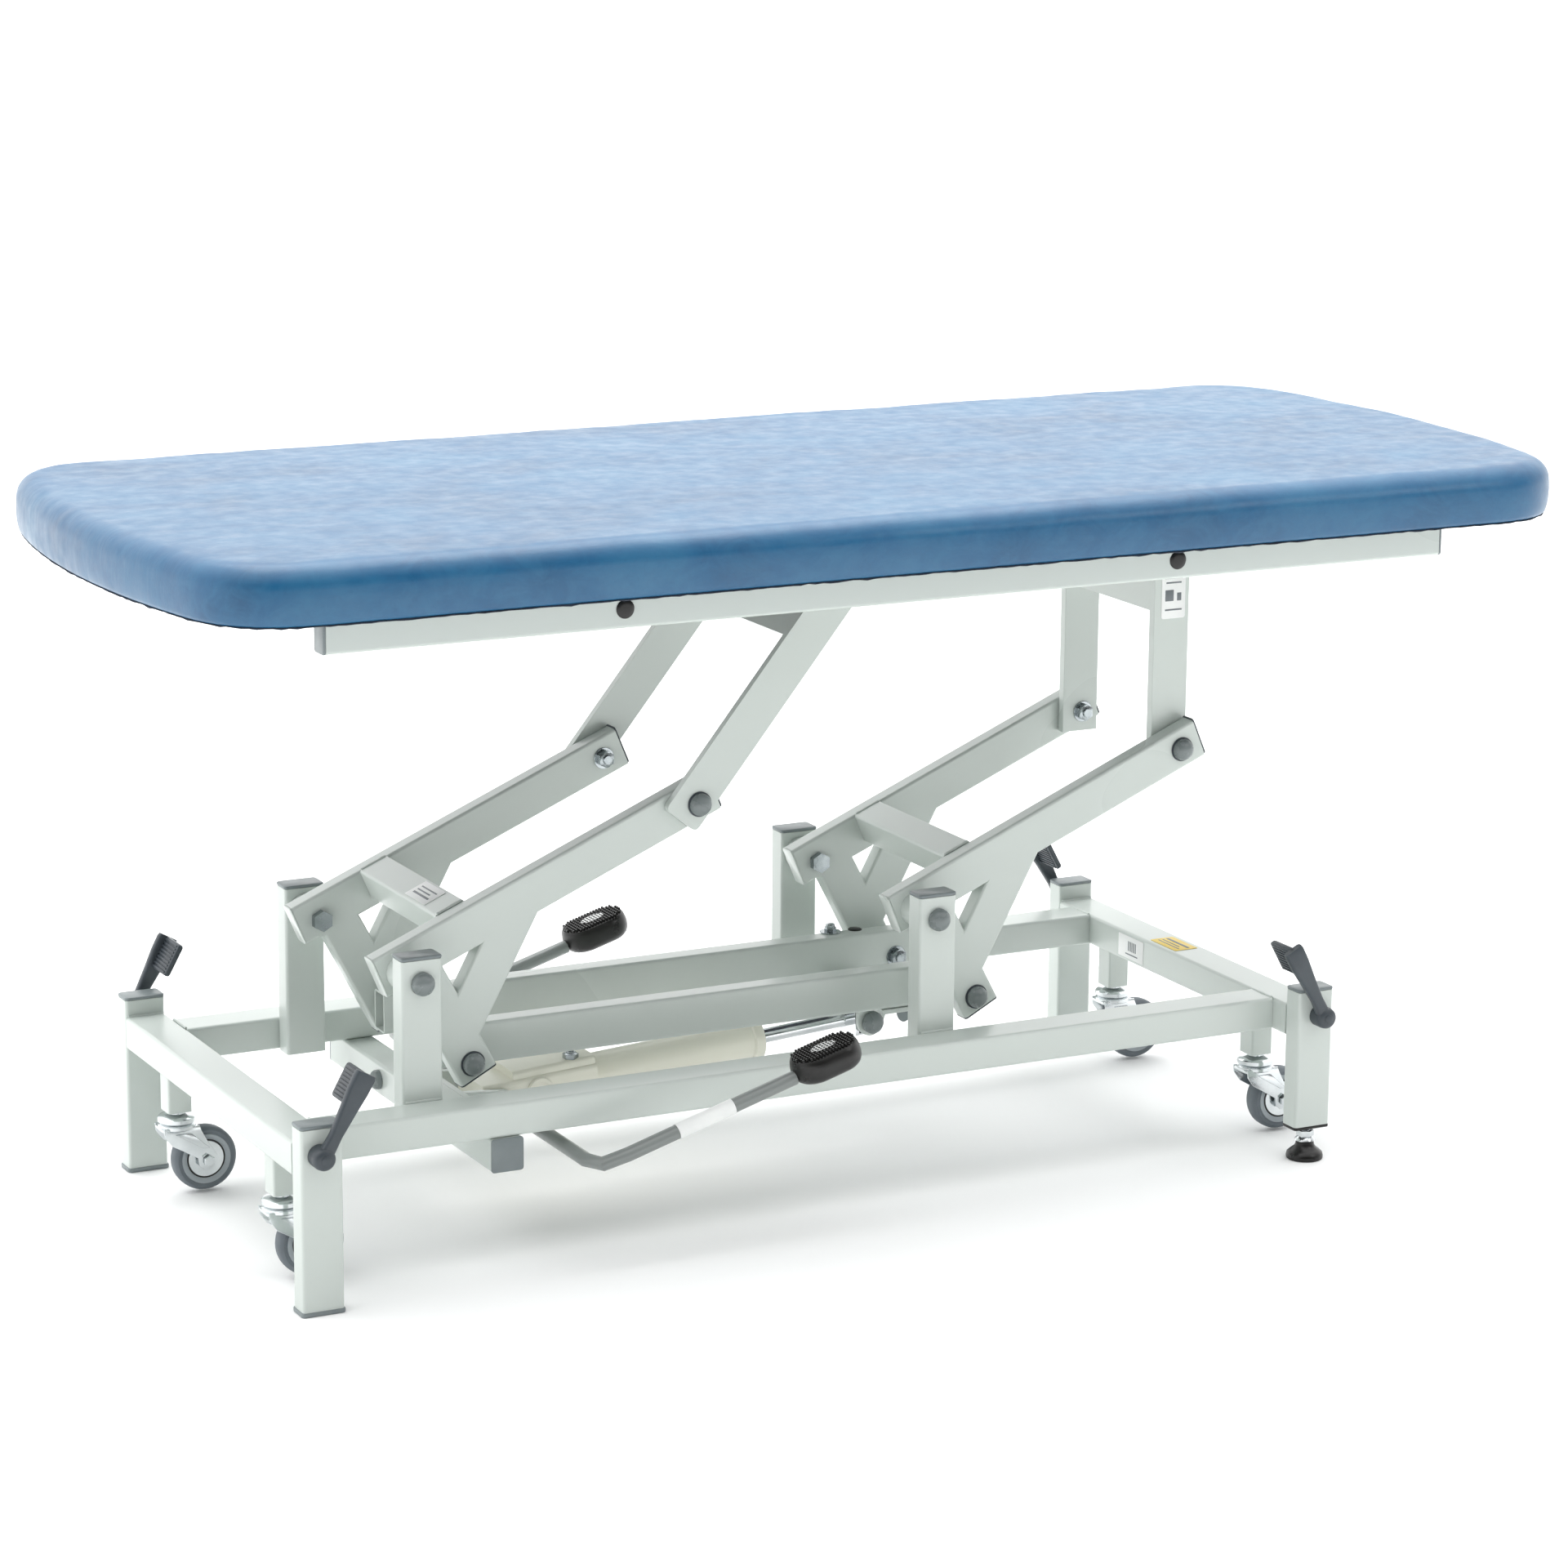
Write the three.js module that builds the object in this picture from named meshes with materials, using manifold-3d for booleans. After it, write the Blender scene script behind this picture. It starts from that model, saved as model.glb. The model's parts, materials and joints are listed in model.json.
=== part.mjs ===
// Hydraulic medical exam couch: welded tube base on four legs with retractable castors, two pairs of
// lifting arms tied by two long beams and a foot-pumped ram, and a padded one-piece top.
// Millimetres, +Z up. The origin is on the floor under the middle of the padded top.
// Inside the couch group X runs along the couch from the middle of the base.
import * as THREE from "three";
import { mergeVertices } from "three/addons/utils/BufferGeometryUtils.js";
import Module from "manifold-3d";

const wasm = await Module();
wasm.setup();

// ---------------------------------------------------------------- driving dimensions
const GAP = 0.3; // between touching pieces
const BASE_X = -87; // middle of the base, from the middle of the top

const LEG = { x: 656, y: 291.5, wide: 50, deep: 30, top: 218, footed: 45 };
const RAIL = { low: 158, high: 198, wide: 50, sideY: 223 };
const POST = { x: [-489, 181.5], y: 182.7, wide: 50, deep: 30, top: 365 };
const WALL = 2.5;
const TUBE_CORNER = 4;

const PIVOT_Z = 337.8;
const ARM = { toUpper: [373, 162.5], toCrank: [86.3, -121.1], inner: 116, outer: 141, high: 50 };
const ARM_ANGLE = THREE.MathUtils.degToRad(23.3);
const ARM_AXIS_ABOVE = 5.6; // the arm tube's axis passes this far above its pivot
const ARM_TAIL = 27;
const ARM_NOSE = 27;
const CRANK_ANGLE = THREE.MathUtils.degToRad(-62.1);
const CRANK_BELOW = 17; // tube past the crank pivot
const BRACE = { low: [-424, 245], high: [-340, 401] }; // on the left pair
const CROSS_TUBE = { near: 68, far: 108, deep: 40 };
const BOLT_R = 8;
const SMALL_BOLT_R = 6;
const RUN = 0.3; // radial clearance round a bolt

const BEAM = { inner: 66.5, outer: 96.5, high: 50, abovePivot: 9, past: 26 };

const PUMP_TUBE = { x: -407, side: 40, y: 248 };
const SHAFT = { x: -325, z: 131, r: 8.6, y: 321, bend: 26, barTo: 262 };
const BRACKET = { half: 110, cheekInner: 44, cheekOuter: 52, round: 18 };
const RAM_PIN = { x: 182, z: 166, r: 8, y: 33 };
const LUG = { inner: 23, outer: 29, r: 18 };
const BRIDGE = { left: 20, right: 36, thick: 6 };
// Distances along the ram from the pump's shaft.
const PUMP = { back: -20, wide: 80, high: 46, raisedFrom: 20, raisedWide: 72, raisedHigh: 30, raisedBy: 18 };
const CYLINDER = { start: 128, end: 364, r: 23.5, collar: 26, collarLong: 12 };
const ROD = { r: 9, start: 262, holeFrom: 140 };
// The rod's eye is wider than its pin, which leaves the ram's small swing free.
const EYE = { half: 18, wide: 44, high: 38 };
const SLOT = { left: 12.6, right: 10.4, low: 15.6, high: 17.1 }; // from the pin's axis
const PEDAL = { long: 84, wide: 58, thick: 26, above: 4 };
const LEVER_RISE = THREE.MathUtils.degToRad(16.7);

const CASTOR = { x: 655, y: 175, tube: 30, tubeLow: 106, tubeHigh: 181, trail: 33, wheelR: 40, axleZ: 43 };
const LEVER = { x: 660, z: 188, hubR: 13.5, long: 106, lean: THREE.MathUtils.degToRad(29) };

const TOP_RAIL = { x: [-647, 803.5], low: 755, high: 800, inner: 290, outer: 317.7 };
const STRUT = { wide: 50, thick: 10, outer: 151.7, angle: THREE.MathUtils.degToRad(51.1) };
const POSTED = { x: 551, inner: 101.5, thick: 12 };
const PLATE = { leftLow: 690, rightLow: 671, thick: 8 };
const DECK = { low: 800.3, thick: 11.4, inset: 40 };
const PAD = { halfLong: 911.5, half: 384, endR: 1500, corner: 112, low: 801, high: 869, round: 20 };
const PAD_MIDDLE = -BASE_X;

// ---------------------------------------------------------------- finishes
const finish = (color, roughness, metalness) => ({ color, roughness, metalness });
const PAINT = finish(0xd9ded7, 0.35, 0.1);
const ZINC = finish(0xc2c6c8, 0.28, 0.95);
const CHROME = finish(0xd9dcde, 0.1, 1);
const SLATE = finish(0x3c454c, 0.5, 0);
const RUBBER = finish(0x1c1b1a, 0.8, 0);
const TYRE = finish(0x5f686e, 0.7, 0);
const BAR_GREY = finish(0x8a908e, 0.45, 0.3);
const CREAM = finish(0xe6e4d2, 0.4, 0.1);
const VINYL = finish(0x4f88b4, 0.45, 0);
const PLY = finish(0xb89468, 0.8, 0);

// ---------------------------------------------------------------- solids
function solid(geometry) {
  const bare = geometry.clone();
  bare.deleteAttribute("normal");
  bare.deleteAttribute("uv");
  const merged = mergeVertices(bare, 1e-4);
  return new wasm.Manifold(
    new wasm.Mesh({
      numProp: 3,
      vertProperties: new Float32Array(merged.attributes.position.array),
      triVerts: new Uint32Array(merged.index.array),
    }),
  );
}

function geometryOf(body) {
  const mesh = body.getMesh();
  const geometry = new THREE.BufferGeometry();
  geometry.setAttribute("position", new THREE.BufferAttribute(mesh.vertProperties, 3));
  geometry.setIndex(new THREE.BufferAttribute(mesh.triVerts, 1));
  geometry.computeVertexNormals();
  return geometry;
}

const join = (...bodies) => bodies.reduce((all, next) => all.add(next));
const cut = (body, ...tools) => tools.reduce((left, tool) => left.subtract(tool), body);

function roundedRect(wide, high, radius) {
  const shape = new THREE.Shape();
  const [w, h] = [wide / 2, high / 2];
  if (!radius) {
    shape.moveTo(-w, -h).lineTo(w, -h).lineTo(w, h).lineTo(-w, h);
    return shape;
  }
  shape.moveTo(-w + radius, -h);
  shape.absarc(w - radius, -h + radius, radius, -Math.PI / 2, 0);
  shape.absarc(w - radius, h - radius, radius, 0, Math.PI / 2);
  shape.absarc(-w + radius, h - radius, radius, Math.PI / 2, Math.PI);
  shape.absarc(-w + radius, -h + radius, radius, Math.PI, 1.5 * Math.PI);
  return shape;
}

function extrude(shape, depth, curveSegments = 2) {
  return new THREE.ExtrudeGeometry(shape, { depth, bevelEnabled: false, curveSegments });
}

// Turns a shape drawn in (x, y) and extruded along z to the three given directions.
function orient(geometry, xTo, yTo, zTo) {
  const turn = new THREE.Matrix4().makeBasis(xTo, yTo, zTo);
  return geometry.applyMatrix4(turn);
}

const X = new THREE.Vector3(1, 0, 0);
const Y = new THREE.Vector3(0, 1, 0);
const Z = new THREE.Vector3(0, 0, 1);

// A bar of rounded rectangular section between two points of the X-Z plane, centred on y.
function barXZ(from, to, y, deep, high, radius = TUBE_CORNER) {
  const along = new THREE.Vector3(to[0] - from[0], 0, to[1] - from[1]);
  const length = along.length();
  along.normalize();
  const across = new THREE.Vector3(-along.z, 0, along.x);
  const bar = orient(extrude(roundedRect(deep, high, radius), length), Y, across, along);
  return solid(bar.translate(from[0], y, from[1]));
}

// A bar along Y between two y values, centred on (x, z).
function barY(x, z, y0, y1, wide, high, radius = TUBE_CORNER) {
  const bar = orient(extrude(roundedRect(wide, high, radius), y1 - y0), X, Z, Y.clone().negate());
  return solid(bar.translate(x, y1, z));
}

// An upright bar between two heights, centred on (x, y).
function barZ(x, y, z0, z1, wide, deep, radius = TUBE_CORNER) {
  return solid(extrude(roundedRect(wide, deep, radius), z1 - z0).translate(x, y, z0));
}

// An upright or lying tube: the outer bar less the same bar thinner by the wall and longer at both ends.
function tubeXZ(from, to, y, deep, high) {
  const over = 1;
  const along = new THREE.Vector2(to[0] - from[0], to[1] - from[1]).normalize().multiplyScalar(over);
  const inner = barXZ(
    [from[0] - along.x, from[1] - along.y],
    [to[0] + along.x, to[1] + along.y],
    y,
    deep - 2 * WALL,
    high - 2 * WALL,
    0,
  );
  return cut(barXZ(from, to, y, deep, high), inner);
}

function tubeY(x, z, y0, y1, wide, high) {
  const inner = barY(x, z, y0 - 1, y1 + 1, wide - 2 * WALL, high - 2 * WALL, 0);
  return cut(barY(x, z, y0, y1, wide, high), inner);
}

function tubeZ(x, y, z0, z1, wide, deep) {
  const inner = barZ(x, y, z0 - 1, z1 + 1, wide - 2 * WALL, deep - 2 * WALL, 0);
  return cut(barZ(x, y, z0, z1, wide, deep), inner);
}

// A round bar along Y.
function rodY(x, z, y0, y1, radius, sides = 12) {
  const rod = new THREE.CylinderGeometry(radius, radius, y1 - y0, sides);
  return solid(rod.translate(x, (y0 + y1) / 2, z));
}

// A flat plate drawn in (x, z) between two y values.
function plateXZ(shape, y0, y1, curveSegments = 4) {
  return solid(orient(extrude(shape, y1 - y0, curveSegments), X, Z, Y.clone().negate()).translate(0, y1, 0));
}

// A turned body: profile points (radius, height) spun about Z.
function turned(points, sides = 20) {
  const profile = points.map(([r, z]) => new THREE.Vector2(r, z));
  const lathe = new THREE.LatheGeometry(profile, sides);
  return orient(lathe, X, Z, Y.clone().negate());
}

// ---------------------------------------------------------------- scene graph
const root = new THREE.Group();
const couch = new THREE.Group();
couch.position.x = BASE_X;
root.add(couch);

function add(name, body, look) {
  const geometry = geometryOf(body);
  const mesh = new THREE.Mesh(geometry, new THREE.MeshStandardMaterial(look));
  mesh.name = name;
  couch.add(mesh);
}

const SIDES = [
  { side: "front", s: -1 },
  { side: "rear", s: 1 },
];
const ENDS = [
  { end: "left", e: -1, i: 0 },
  { end: "right", e: 1, i: 1 },
];
// The two y values of a piece between two distances from the middle plane, in rising order.
const span = (s, near, far) => (s < 0 ? [-far, -near] : [near, far]);

// ---------------------------------------------------------------- base frame
function addLegs() {
  for (const { side, s } of SIDES) {
    for (const { end, e } of ENDS) {
      const footed = side === "front" && end === "right";
      const leg = tubeZ(e * LEG.x, s * LEG.y, footed ? LEG.footed : 0, LEG.top, LEG.wide, LEG.deep);
      const bore = rodY(e * LEVER.x, LEVER.z, ...span(s, 270, 312), SMALL_BOLT_R + 1);
      add(`leg_${side}_${end}`, cut(leg, bore), PAINT);
    }
  }
}

function addRails() {
  const middle = (RAIL.low + RAIL.high) / 2;
  const high = RAIL.high - RAIL.low;
  const innerEnd = LEG.y - LEG.deep / 2 - GAP;
  const sideEnd = LEG.x - LEG.wide / 2 - GAP;
  const hole = CASTOR.tube + 1;
  for (const { end, e } of ENDS) {
    let rail = tubeY(e * LEG.x, middle, -innerEnd, innerEnd, LEG.wide, high);
    for (const { s } of SIDES) {
      const slot = barZ(e * CASTOR.x, s * CASTOR.y, RAIL.low - 5, middle - 8, hole, hole, 3);
      rail = cut(rail, slot);
    }
    add(`end_rail_${end}`, rail, PAINT);
  }
  for (const { side, s } of SIDES) {
    const rail = tubeXZ([-sideEnd, middle], [sideEnd, middle], s * RAIL.sideY, RAIL.wide, high);
    add(`side_rail_${side}`, rail, PAINT);
  }
}

function addPosts() {
  for (const { side, s } of SIDES) {
    for (const { end, i } of ENDS) {
      const x = POST.x[i];
      const post = tubeZ(x, s * POST.y, RAIL.low, POST.top, POST.wide, POST.deep);
      const bore = rodY(x, PIVOT_Z, ...span(s, 160, 205), BOLT_R + RUN);
      add(`post_${side}_${end}`, cut(post, bore), PAINT);
      const shank = rodY(x, PIVOT_Z, ...span(s, 106, 206), BOLT_R, 18);
      const head = rodY(x, PIVOT_Z, ...span(s, 106, 115.5), 13, 6);
      add(`pivot_bolt_${side}_${end}`, join(shank, head), ZINC);
    }
  }
}

// ---------------------------------------------------------------- arms, cross tubes and tie beams
const armDir = [Math.cos(ARM_ANGLE), Math.sin(ARM_ANGLE)];
const armUp = [-armDir[1], armDir[0]];
const crankDir = [Math.cos(CRANK_ANGLE), Math.sin(CRANK_ANGLE)];
// A point of the X-Z plane at a distance along and above the arm's line through its pivot.
const onArm = (x, along, above) => [
  x + along * armDir[0] + above * armUp[0],
  PIVOT_Z + along * armDir[1] + above * armUp[1],
];
const step = (point, dir, by) => [point[0] + dir[0] * by, point[1] + dir[1] * by];

function armBody(x, s) {
  const y = (s * (ARM.inner + ARM.outer)) / 2;
  const deep = ARM.outer - ARM.inner;
  const reach = Math.hypot(...ARM.toUpper);
  const shift = x - POST.x[0];
  const crank = [x + ARM.toCrank[0], PIVOT_Z + ARM.toCrank[1]];
  const upper = [x + ARM.toUpper[0], PIVOT_Z + ARM.toUpper[1]];
  const tail = onArm(x, -ARM_TAIL, ARM_AXIS_ABOVE);
  const nose = onArm(x, reach + ARM_NOSE, ARM_AXIS_ABOVE / 2);
  const crankEnd = step(crank, crankDir, CRANK_BELOW);
  const crankTop = step(crank, crankDir, -132);
  const braceLow = [BRACE.low[0] + shift, BRACE.low[1]];
  const braceHigh = [BRACE.high[0] + shift, BRACE.high[1]];
  const pieces = [
    [tail, nose],
    [crankTop, crankEnd],
    [braceLow, braceHigh],
  ];
  const outer = pieces.map(([a, b]) => barXZ(a, b, y, deep, ARM.high));
  const bores = [
    { at: [x, PIVOT_Z], tube: 21, bore: BOLT_R + RUN, from: ARM.inner, to: 167.2 },
    { at: crank, tube: 12, bore: SMALL_BOLT_R + RUN, from: ARM.inner, to: ARM.outer },
    { at: upper, tube: 12, bore: SMALL_BOLT_R + RUN, from: ARM.inner, to: ARM.outer },
  ];
  // The tubes are hollow: the arm from its tail to its nose, and the crank from its open foot.
  const hollow = [
    [step(tail, armDir, -1), step(nose, armDir, 1)],
    [crankTop, step(crankEnd, crankDir, 1)],
  ].map(([a, b]) => barXZ(a, b, y, deep - 2 * WALL, ARM.high - 2 * WALL, 0));
  let body = cut(join(...outer), ...hollow);
  for (const { at, tube, from, to } of bores) body = body.add(rodY(...at, ...span(s, from, to), tube, 16));
  for (const { at, bore } of bores) body = body.subtract(rodY(...at, ...span(s, 100, 180), bore));
  return body;
}

function addArms() {
  for (const { end, i } of ENDS) {
    const x = POST.x[i];
    for (const { side, s } of SIDES) add(`arm_${end}_${side}`, armBody(x, s), PAINT);
    const along = (CROSS_TUBE.near + CROSS_TUBE.far) / 2;
    const above = ARM_AXIS_ABOVE + (ARM.high - CROSS_TUBE.deep) / 2;
    const [cx, cz] = onArm(x, along, above);
    const wide = CROSS_TUBE.far - CROSS_TUBE.near;
    const reach = ARM.inner - GAP;
    const section = roundedRect(wide, CROSS_TUBE.deep, TUBE_CORNER);
    const inside = roundedRect(wide - 2 * WALL, CROSS_TUBE.deep - 2 * WALL, 0);
    const slope = [new THREE.Vector3(armDir[0], 0, armDir[1]), new THREE.Vector3(armUp[0], 0, armUp[1])];
    const place = (shape, half) =>
      solid(orient(extrude(shape, 2 * half), ...slope, Y.clone().negate()).translate(cx, half, cz));
    add(`arm_cross_tube_${end}`, cut(place(section, reach), place(inside, reach + 1)), PAINT);
  }
}

function addTieBeams() {
  const z = PIVOT_Z + ARM.toCrank[1];
  const ends = POST.x.map((x) => x + ARM.toCrank[0]);
  const middle = z + BEAM.abovePivot;
  for (const { side, s } of SIDES) {
    const y = (s * (BEAM.inner + BEAM.outer)) / 2;
    const from = [ends[0] - BEAM.past, middle];
    const to = [ends[1] + BEAM.past, middle];
    let beam = tubeXZ(from, to, y, BEAM.outer - BEAM.inner, BEAM.high);
    for (const x of ends) {
      beam = beam.add(rodY(x, z, ...span(s, BEAM.inner, ARM.inner - 0.6), 13, 16));
      beam = beam.subtract(rodY(x, z, ...span(s, 60, 120), SMALL_BOLT_R + RUN));
    }
    add(`tie_beam_${side}`, beam, PAINT);
  }
}

// A bridge plate under the two beams with two lugs that hold the ram's pin.
function addRamBracket() {
  const under = PIVOT_Z + ARM.toCrank[1] + BEAM.abovePivot - BEAM.high / 2 - GAP;
  const [x, z] = [RAM_PIN.x, RAM_PIN.z];
  const bridgeZ = under - BRIDGE.thick / 2;
  const bridgeEnds = [x - BRIDGE.left, x + BRIDGE.right].map((end) => [end, bridgeZ]);
  const bridge = barXZ(...bridgeEnds, 0, 2 * BEAM.outer, BRIDGE.thick, 1);
  const lug = new THREE.Shape();
  lug.moveTo(x - LUG.r, bridgeZ);
  lug.lineTo(x - LUG.r, z);
  lug.absarc(x, z, LUG.r, Math.PI, 2 * Math.PI);
  lug.lineTo(x + BRIDGE.right - 6, bridgeZ);
  const lugs = SIDES.map(({ s }) => plateXZ(lug, ...span(s, LUG.inner, LUG.outer), 10));
  const bore = rodY(x, z, -RAM_PIN.y, RAM_PIN.y, RAM_PIN.r + RUN);
  add("ram_bracket", cut(join(bridge, ...lugs), bore), PAINT);
  add("ram_pin", rodY(x, z, -RAM_PIN.y, RAM_PIN.y, RAM_PIN.r, 20), ZINC);
}

// ---------------------------------------------------------------- hydraulic pump, ram and foot lever
const ramAngle = Math.atan2(RAM_PIN.z - SHAFT.z, RAM_PIN.x - SHAFT.x);
const ramDir = [Math.cos(ramAngle), Math.sin(ramAngle)];
const onRam = (along) => step([SHAFT.x, SHAFT.z], ramDir, along);

// A turned body lying along the ram's axis.
function alongRam(points, sides) {
  const [dx, dz] = ramDir;
  const lying = orient(
    turned(points, sides),
    new THREE.Vector3(-dz, 0, dx),
    Y.clone().negate(),
    new THREE.Vector3(dx, 0, dz),
  );
  return solid(lying.translate(SHAFT.x, 0, SHAFT.z));
}

// The pump's bracket hangs the foot lever's shaft, and the pump on it, from a cross tube under the side rails.
function addPumpBracket() {
  const middle = RAIL.low - GAP - PUMP_TUBE.side / 2;
  const tube = tubeY(PUMP_TUBE.x, middle, -PUMP_TUBE.y, PUMP_TUBE.y, PUMP_TUBE.side, PUMP_TUBE.side);
  add("pump_cross_tube", tube, PAINT);

  const thick = BRACKET.cheekOuter - BRACKET.cheekInner;
  const plateX = PUMP_TUBE.x + PUMP_TUBE.side / 2 + GAP + thick / 2;
  const half = BRACKET.round;
  const back = barXZ([plateX, middle - half], [plateX, middle + half], 0, 2 * BRACKET.half, thick, 1);
  const cheek = new THREE.Shape();
  cheek.moveTo(plateX, middle - half + 2);
  cheek.lineTo(SHAFT.x, SHAFT.z - half);
  cheek.absarc(SHAFT.x, SHAFT.z, half, -Math.PI / 2, Math.PI / 2);
  cheek.lineTo(plateX, middle + half - 2);
  const { cheekInner, cheekOuter } = BRACKET;
  const cheeks = SIDES.map(({ s }) => plateXZ(cheek, ...span(s, cheekInner, cheekOuter), 8));
  add("pump_bracket", cut(join(back, ...cheeks), shaftBore()), PAINT);
}

// The bore for the foot lever's shaft.
const shaftBore = () => rodY(SHAFT.x, SHAFT.z, -60, 60, SHAFT.r + 2 * RUN);

function addPump() {
  const body = barXZ(onRam(PUMP.back), onRam(CYLINDER.start + 2), 0, PUMP.wide, PUMP.high, 6);
  const raisedEnds = [PUMP.raisedFrom, CYLINDER.start].map((at) => step(onRam(at), [0, 1], PUMP.raisedBy));
  const raised = barXZ(...raisedEnds, 0, PUMP.raisedWide, PUMP.raisedHigh, 5);
  const collarAt = CYLINDER.end - CYLINDER.collarLong;
  const barrel = alongRam(
    [
      [0, CYLINDER.start],
      [CYLINDER.r, CYLINDER.start],
      [CYLINDER.r, collarAt - 2],
      [CYLINDER.collar, collarAt],
      [CYLINDER.collar, CYLINDER.end],
      [0, CYLINDER.end],
    ],
    28,
  );
  const rodHole = roundBar(ROD.holeFrom, CYLINDER.end + 5, ROD.r + RUN);
  add("pump_cylinder", cut(join(body, raised, barrel), rodHole, shaftBore()), CREAM);

  const pinAt = Math.hypot(RAM_PIN.x - SHAFT.x, RAM_PIN.z - SHAFT.z);
  const rod = roundBar(ROD.start, pinAt - SLOT.left - 2, ROD.r);
  const eye = barXZ(onRam(pinAt - EYE.half), onRam(pinAt + EYE.half), 0, EYE.wide, EYE.high, 6);
  const slotX = RAM_PIN.x + (SLOT.right - SLOT.left) / 2;
  const slotEnds = [-SLOT.low, SLOT.high].map((above) => [slotX, RAM_PIN.z + above]);
  const slot = barXZ(...slotEnds, 0, EYE.wide + 4, SLOT.left + SLOT.right, 0);
  add("ram_rod", cut(join(rod, eye), slot), CHROME);
}

// A round bar along the ram's axis.
function roundBar(from, to, radius) {
  const profile = [
    [0, from],
    [radius, from],
    [radius, to],
    [0, to],
  ];
  return alongRam(profile, 24);
}

// One half of the foot lever: half the cross shaft, a bend, and the bar that rises to the pedal.
function addFootLever() {
  for (const { side, s } of SIDES) {
    const path = new THREE.CurvePath();
    const at = (along, y) =>
      new THREE.Vector3(
        SHAFT.x + along * Math.cos(LEVER_RISE),
        s * y,
        SHAFT.z + along * Math.sin(LEVER_RISE),
      );
    path.add(new THREE.LineCurve3(at(0, GAP / 2), at(0, SHAFT.y - SHAFT.bend)));
    path.add(
      new THREE.QuadraticBezierCurve3(at(0, SHAFT.y - SHAFT.bend), at(0, SHAFT.y), at(SHAFT.bend, SHAFT.y)),
    );
    path.add(new THREE.LineCurve3(at(SHAFT.bend, SHAFT.y), at(SHAFT.barTo, SHAFT.y)));
    const section = new THREE.Shape();
    section.absarc(0, 0, SHAFT.r, 0, 2 * Math.PI);
    const bar = new THREE.ExtrudeGeometry(section, {
      extrudePath: path,
      steps: 18,
      curveSegments: 5,
      bevelEnabled: false,
    });
    add(`foot_lever_${side}`, solid(bar), BAR_GREY);
    const pedalStart = SHAFT.barTo + GAP;
    const pedalEnds = [pedalStart, pedalStart + PEDAL.long].map((along) => {
      const point = at(along, 0);
      return [point.x, point.z + PEDAL.above];
    });
    const pedal = barXZ(...pedalEnds, s * SHAFT.y, PEDAL.wide, PEDAL.thick, 9);
    add(`pedal_${side}`, pedal, RUBBER);
  }
}

// ---------------------------------------------------------------- castors and their lowering levers
function castorFork(x, y) {
  const head = turned(
    [
      [0, 84],
      [23, 84],
      [21, 102],
      [9, 102],
      [9, CASTOR.tubeLow - GAP],
      [0, CASTOR.tubeLow - GAP],
    ],
    14,
  );
  const cheek = new THREE.Shape();
  cheek.moveTo(-22, 86);
  cheek.lineTo(-18, 74);
  cheek.lineTo(CASTOR.trail - 12, CASTOR.axleZ - 4);
  cheek.lineTo(CASTOR.trail - 5, CASTOR.axleZ - 11);
  cheek.lineTo(CASTOR.trail + 5, CASTOR.axleZ - 11);
  cheek.lineTo(CASTOR.trail + 11, CASTOR.axleZ);
  cheek.lineTo(30, 72);
  cheek.lineTo(23, 86);
  const cheeks = SIDES.map(({ s }) => plateXZ(cheek, ...span(s, 15, 18)));
  const axle = rodY(CASTOR.trail, CASTOR.axleZ, -21, 21, 5, 14);
  return join(solid(head), ...cheeks, axle).translate([x, y, 0]);
}

function wheelBody(x, y) {
  const profile = [
    [5.6, -12],
    [36, -12],
    [CASTOR.wheelR, -5],
    [CASTOR.wheelR, 5],
    [36, 12],
    [5.6, 12],
    [5.6, -12],
  ];
  const upright = orient(turned(profile, 24), X, Z.clone().negate(), Y);
  return solid(upright.translate(x + CASTOR.trail, y, CASTOR.axleZ));
}

// A lever on a shaft through the leg and into the end rail, where its short cam presses the castor tube down.
function leverBody(e, s) {
  const { x, z, hubR, long, lean } = LEVER;
  const tip = [e * (x - long * Math.sin(lean)), z + long * Math.cos(lean)];
  const outer = LEG.y + LEG.deep / 2 + 0.5;
  const hub = rodY(e * x, z, ...span(s, outer, outer + 22), hubR, 16);
  const yMid = s * (outer + 14);
  const arm = barXZ([e * x, z], tip, yMid, 13, 20, 0);
  const padFrom = step(tip, [-e * Math.sin(lean), Math.cos(lean)], -42);
  const pad = barXZ(padFrom, tip, s * (outer - 7), 54, 9, 0);
  const shaft = rodY(e * x, z, ...span(s, CASTOR.y - 8, outer + 1), SMALL_BOLT_R);
  const camTip = [e * (x - 16), z];
  const cam = barXZ([e * x, z], camTip, s * CASTOR.y, 14, 8, 0);
  return join(hub, arm, pad, shaft, cam);
}

function addCastors() {
  for (const { side, s } of SIDES) {
    for (const { end, e } of ENDS) {
      const [x, y] = [e * CASTOR.x, s * CASTOR.y];
      const tube = barZ(x, y, CASTOR.tubeLow, CASTOR.tubeHigh, CASTOR.tube, CASTOR.tube, 3);
      add(`castor_tube_${side}_${end}`, tube, PAINT);
      add(`castor_fork_${side}_${end}`, castorFork(x, y), ZINC);
      add(`castor_wheel_${side}_${end}`, wheelBody(x, y), TYRE);
      add(`castor_lever_${side}_${end}`, leverBody(e, s), SLATE);
    }
  }
}

function addLevellingFoot() {
  const foot = turned(
    [
      [0, 0],
      [22.5, 0],
      [23, 4],
      [22, 9],
      [11, 18],
      [11, 21],
      [8, 32],
      [6, 32],
      [6, 70],
      [0, 70],
    ],
    28,
  );
  add("levelling_foot", solid(foot.translate(LEG.x, -LEG.y, 0)), RUBBER);
}

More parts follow.
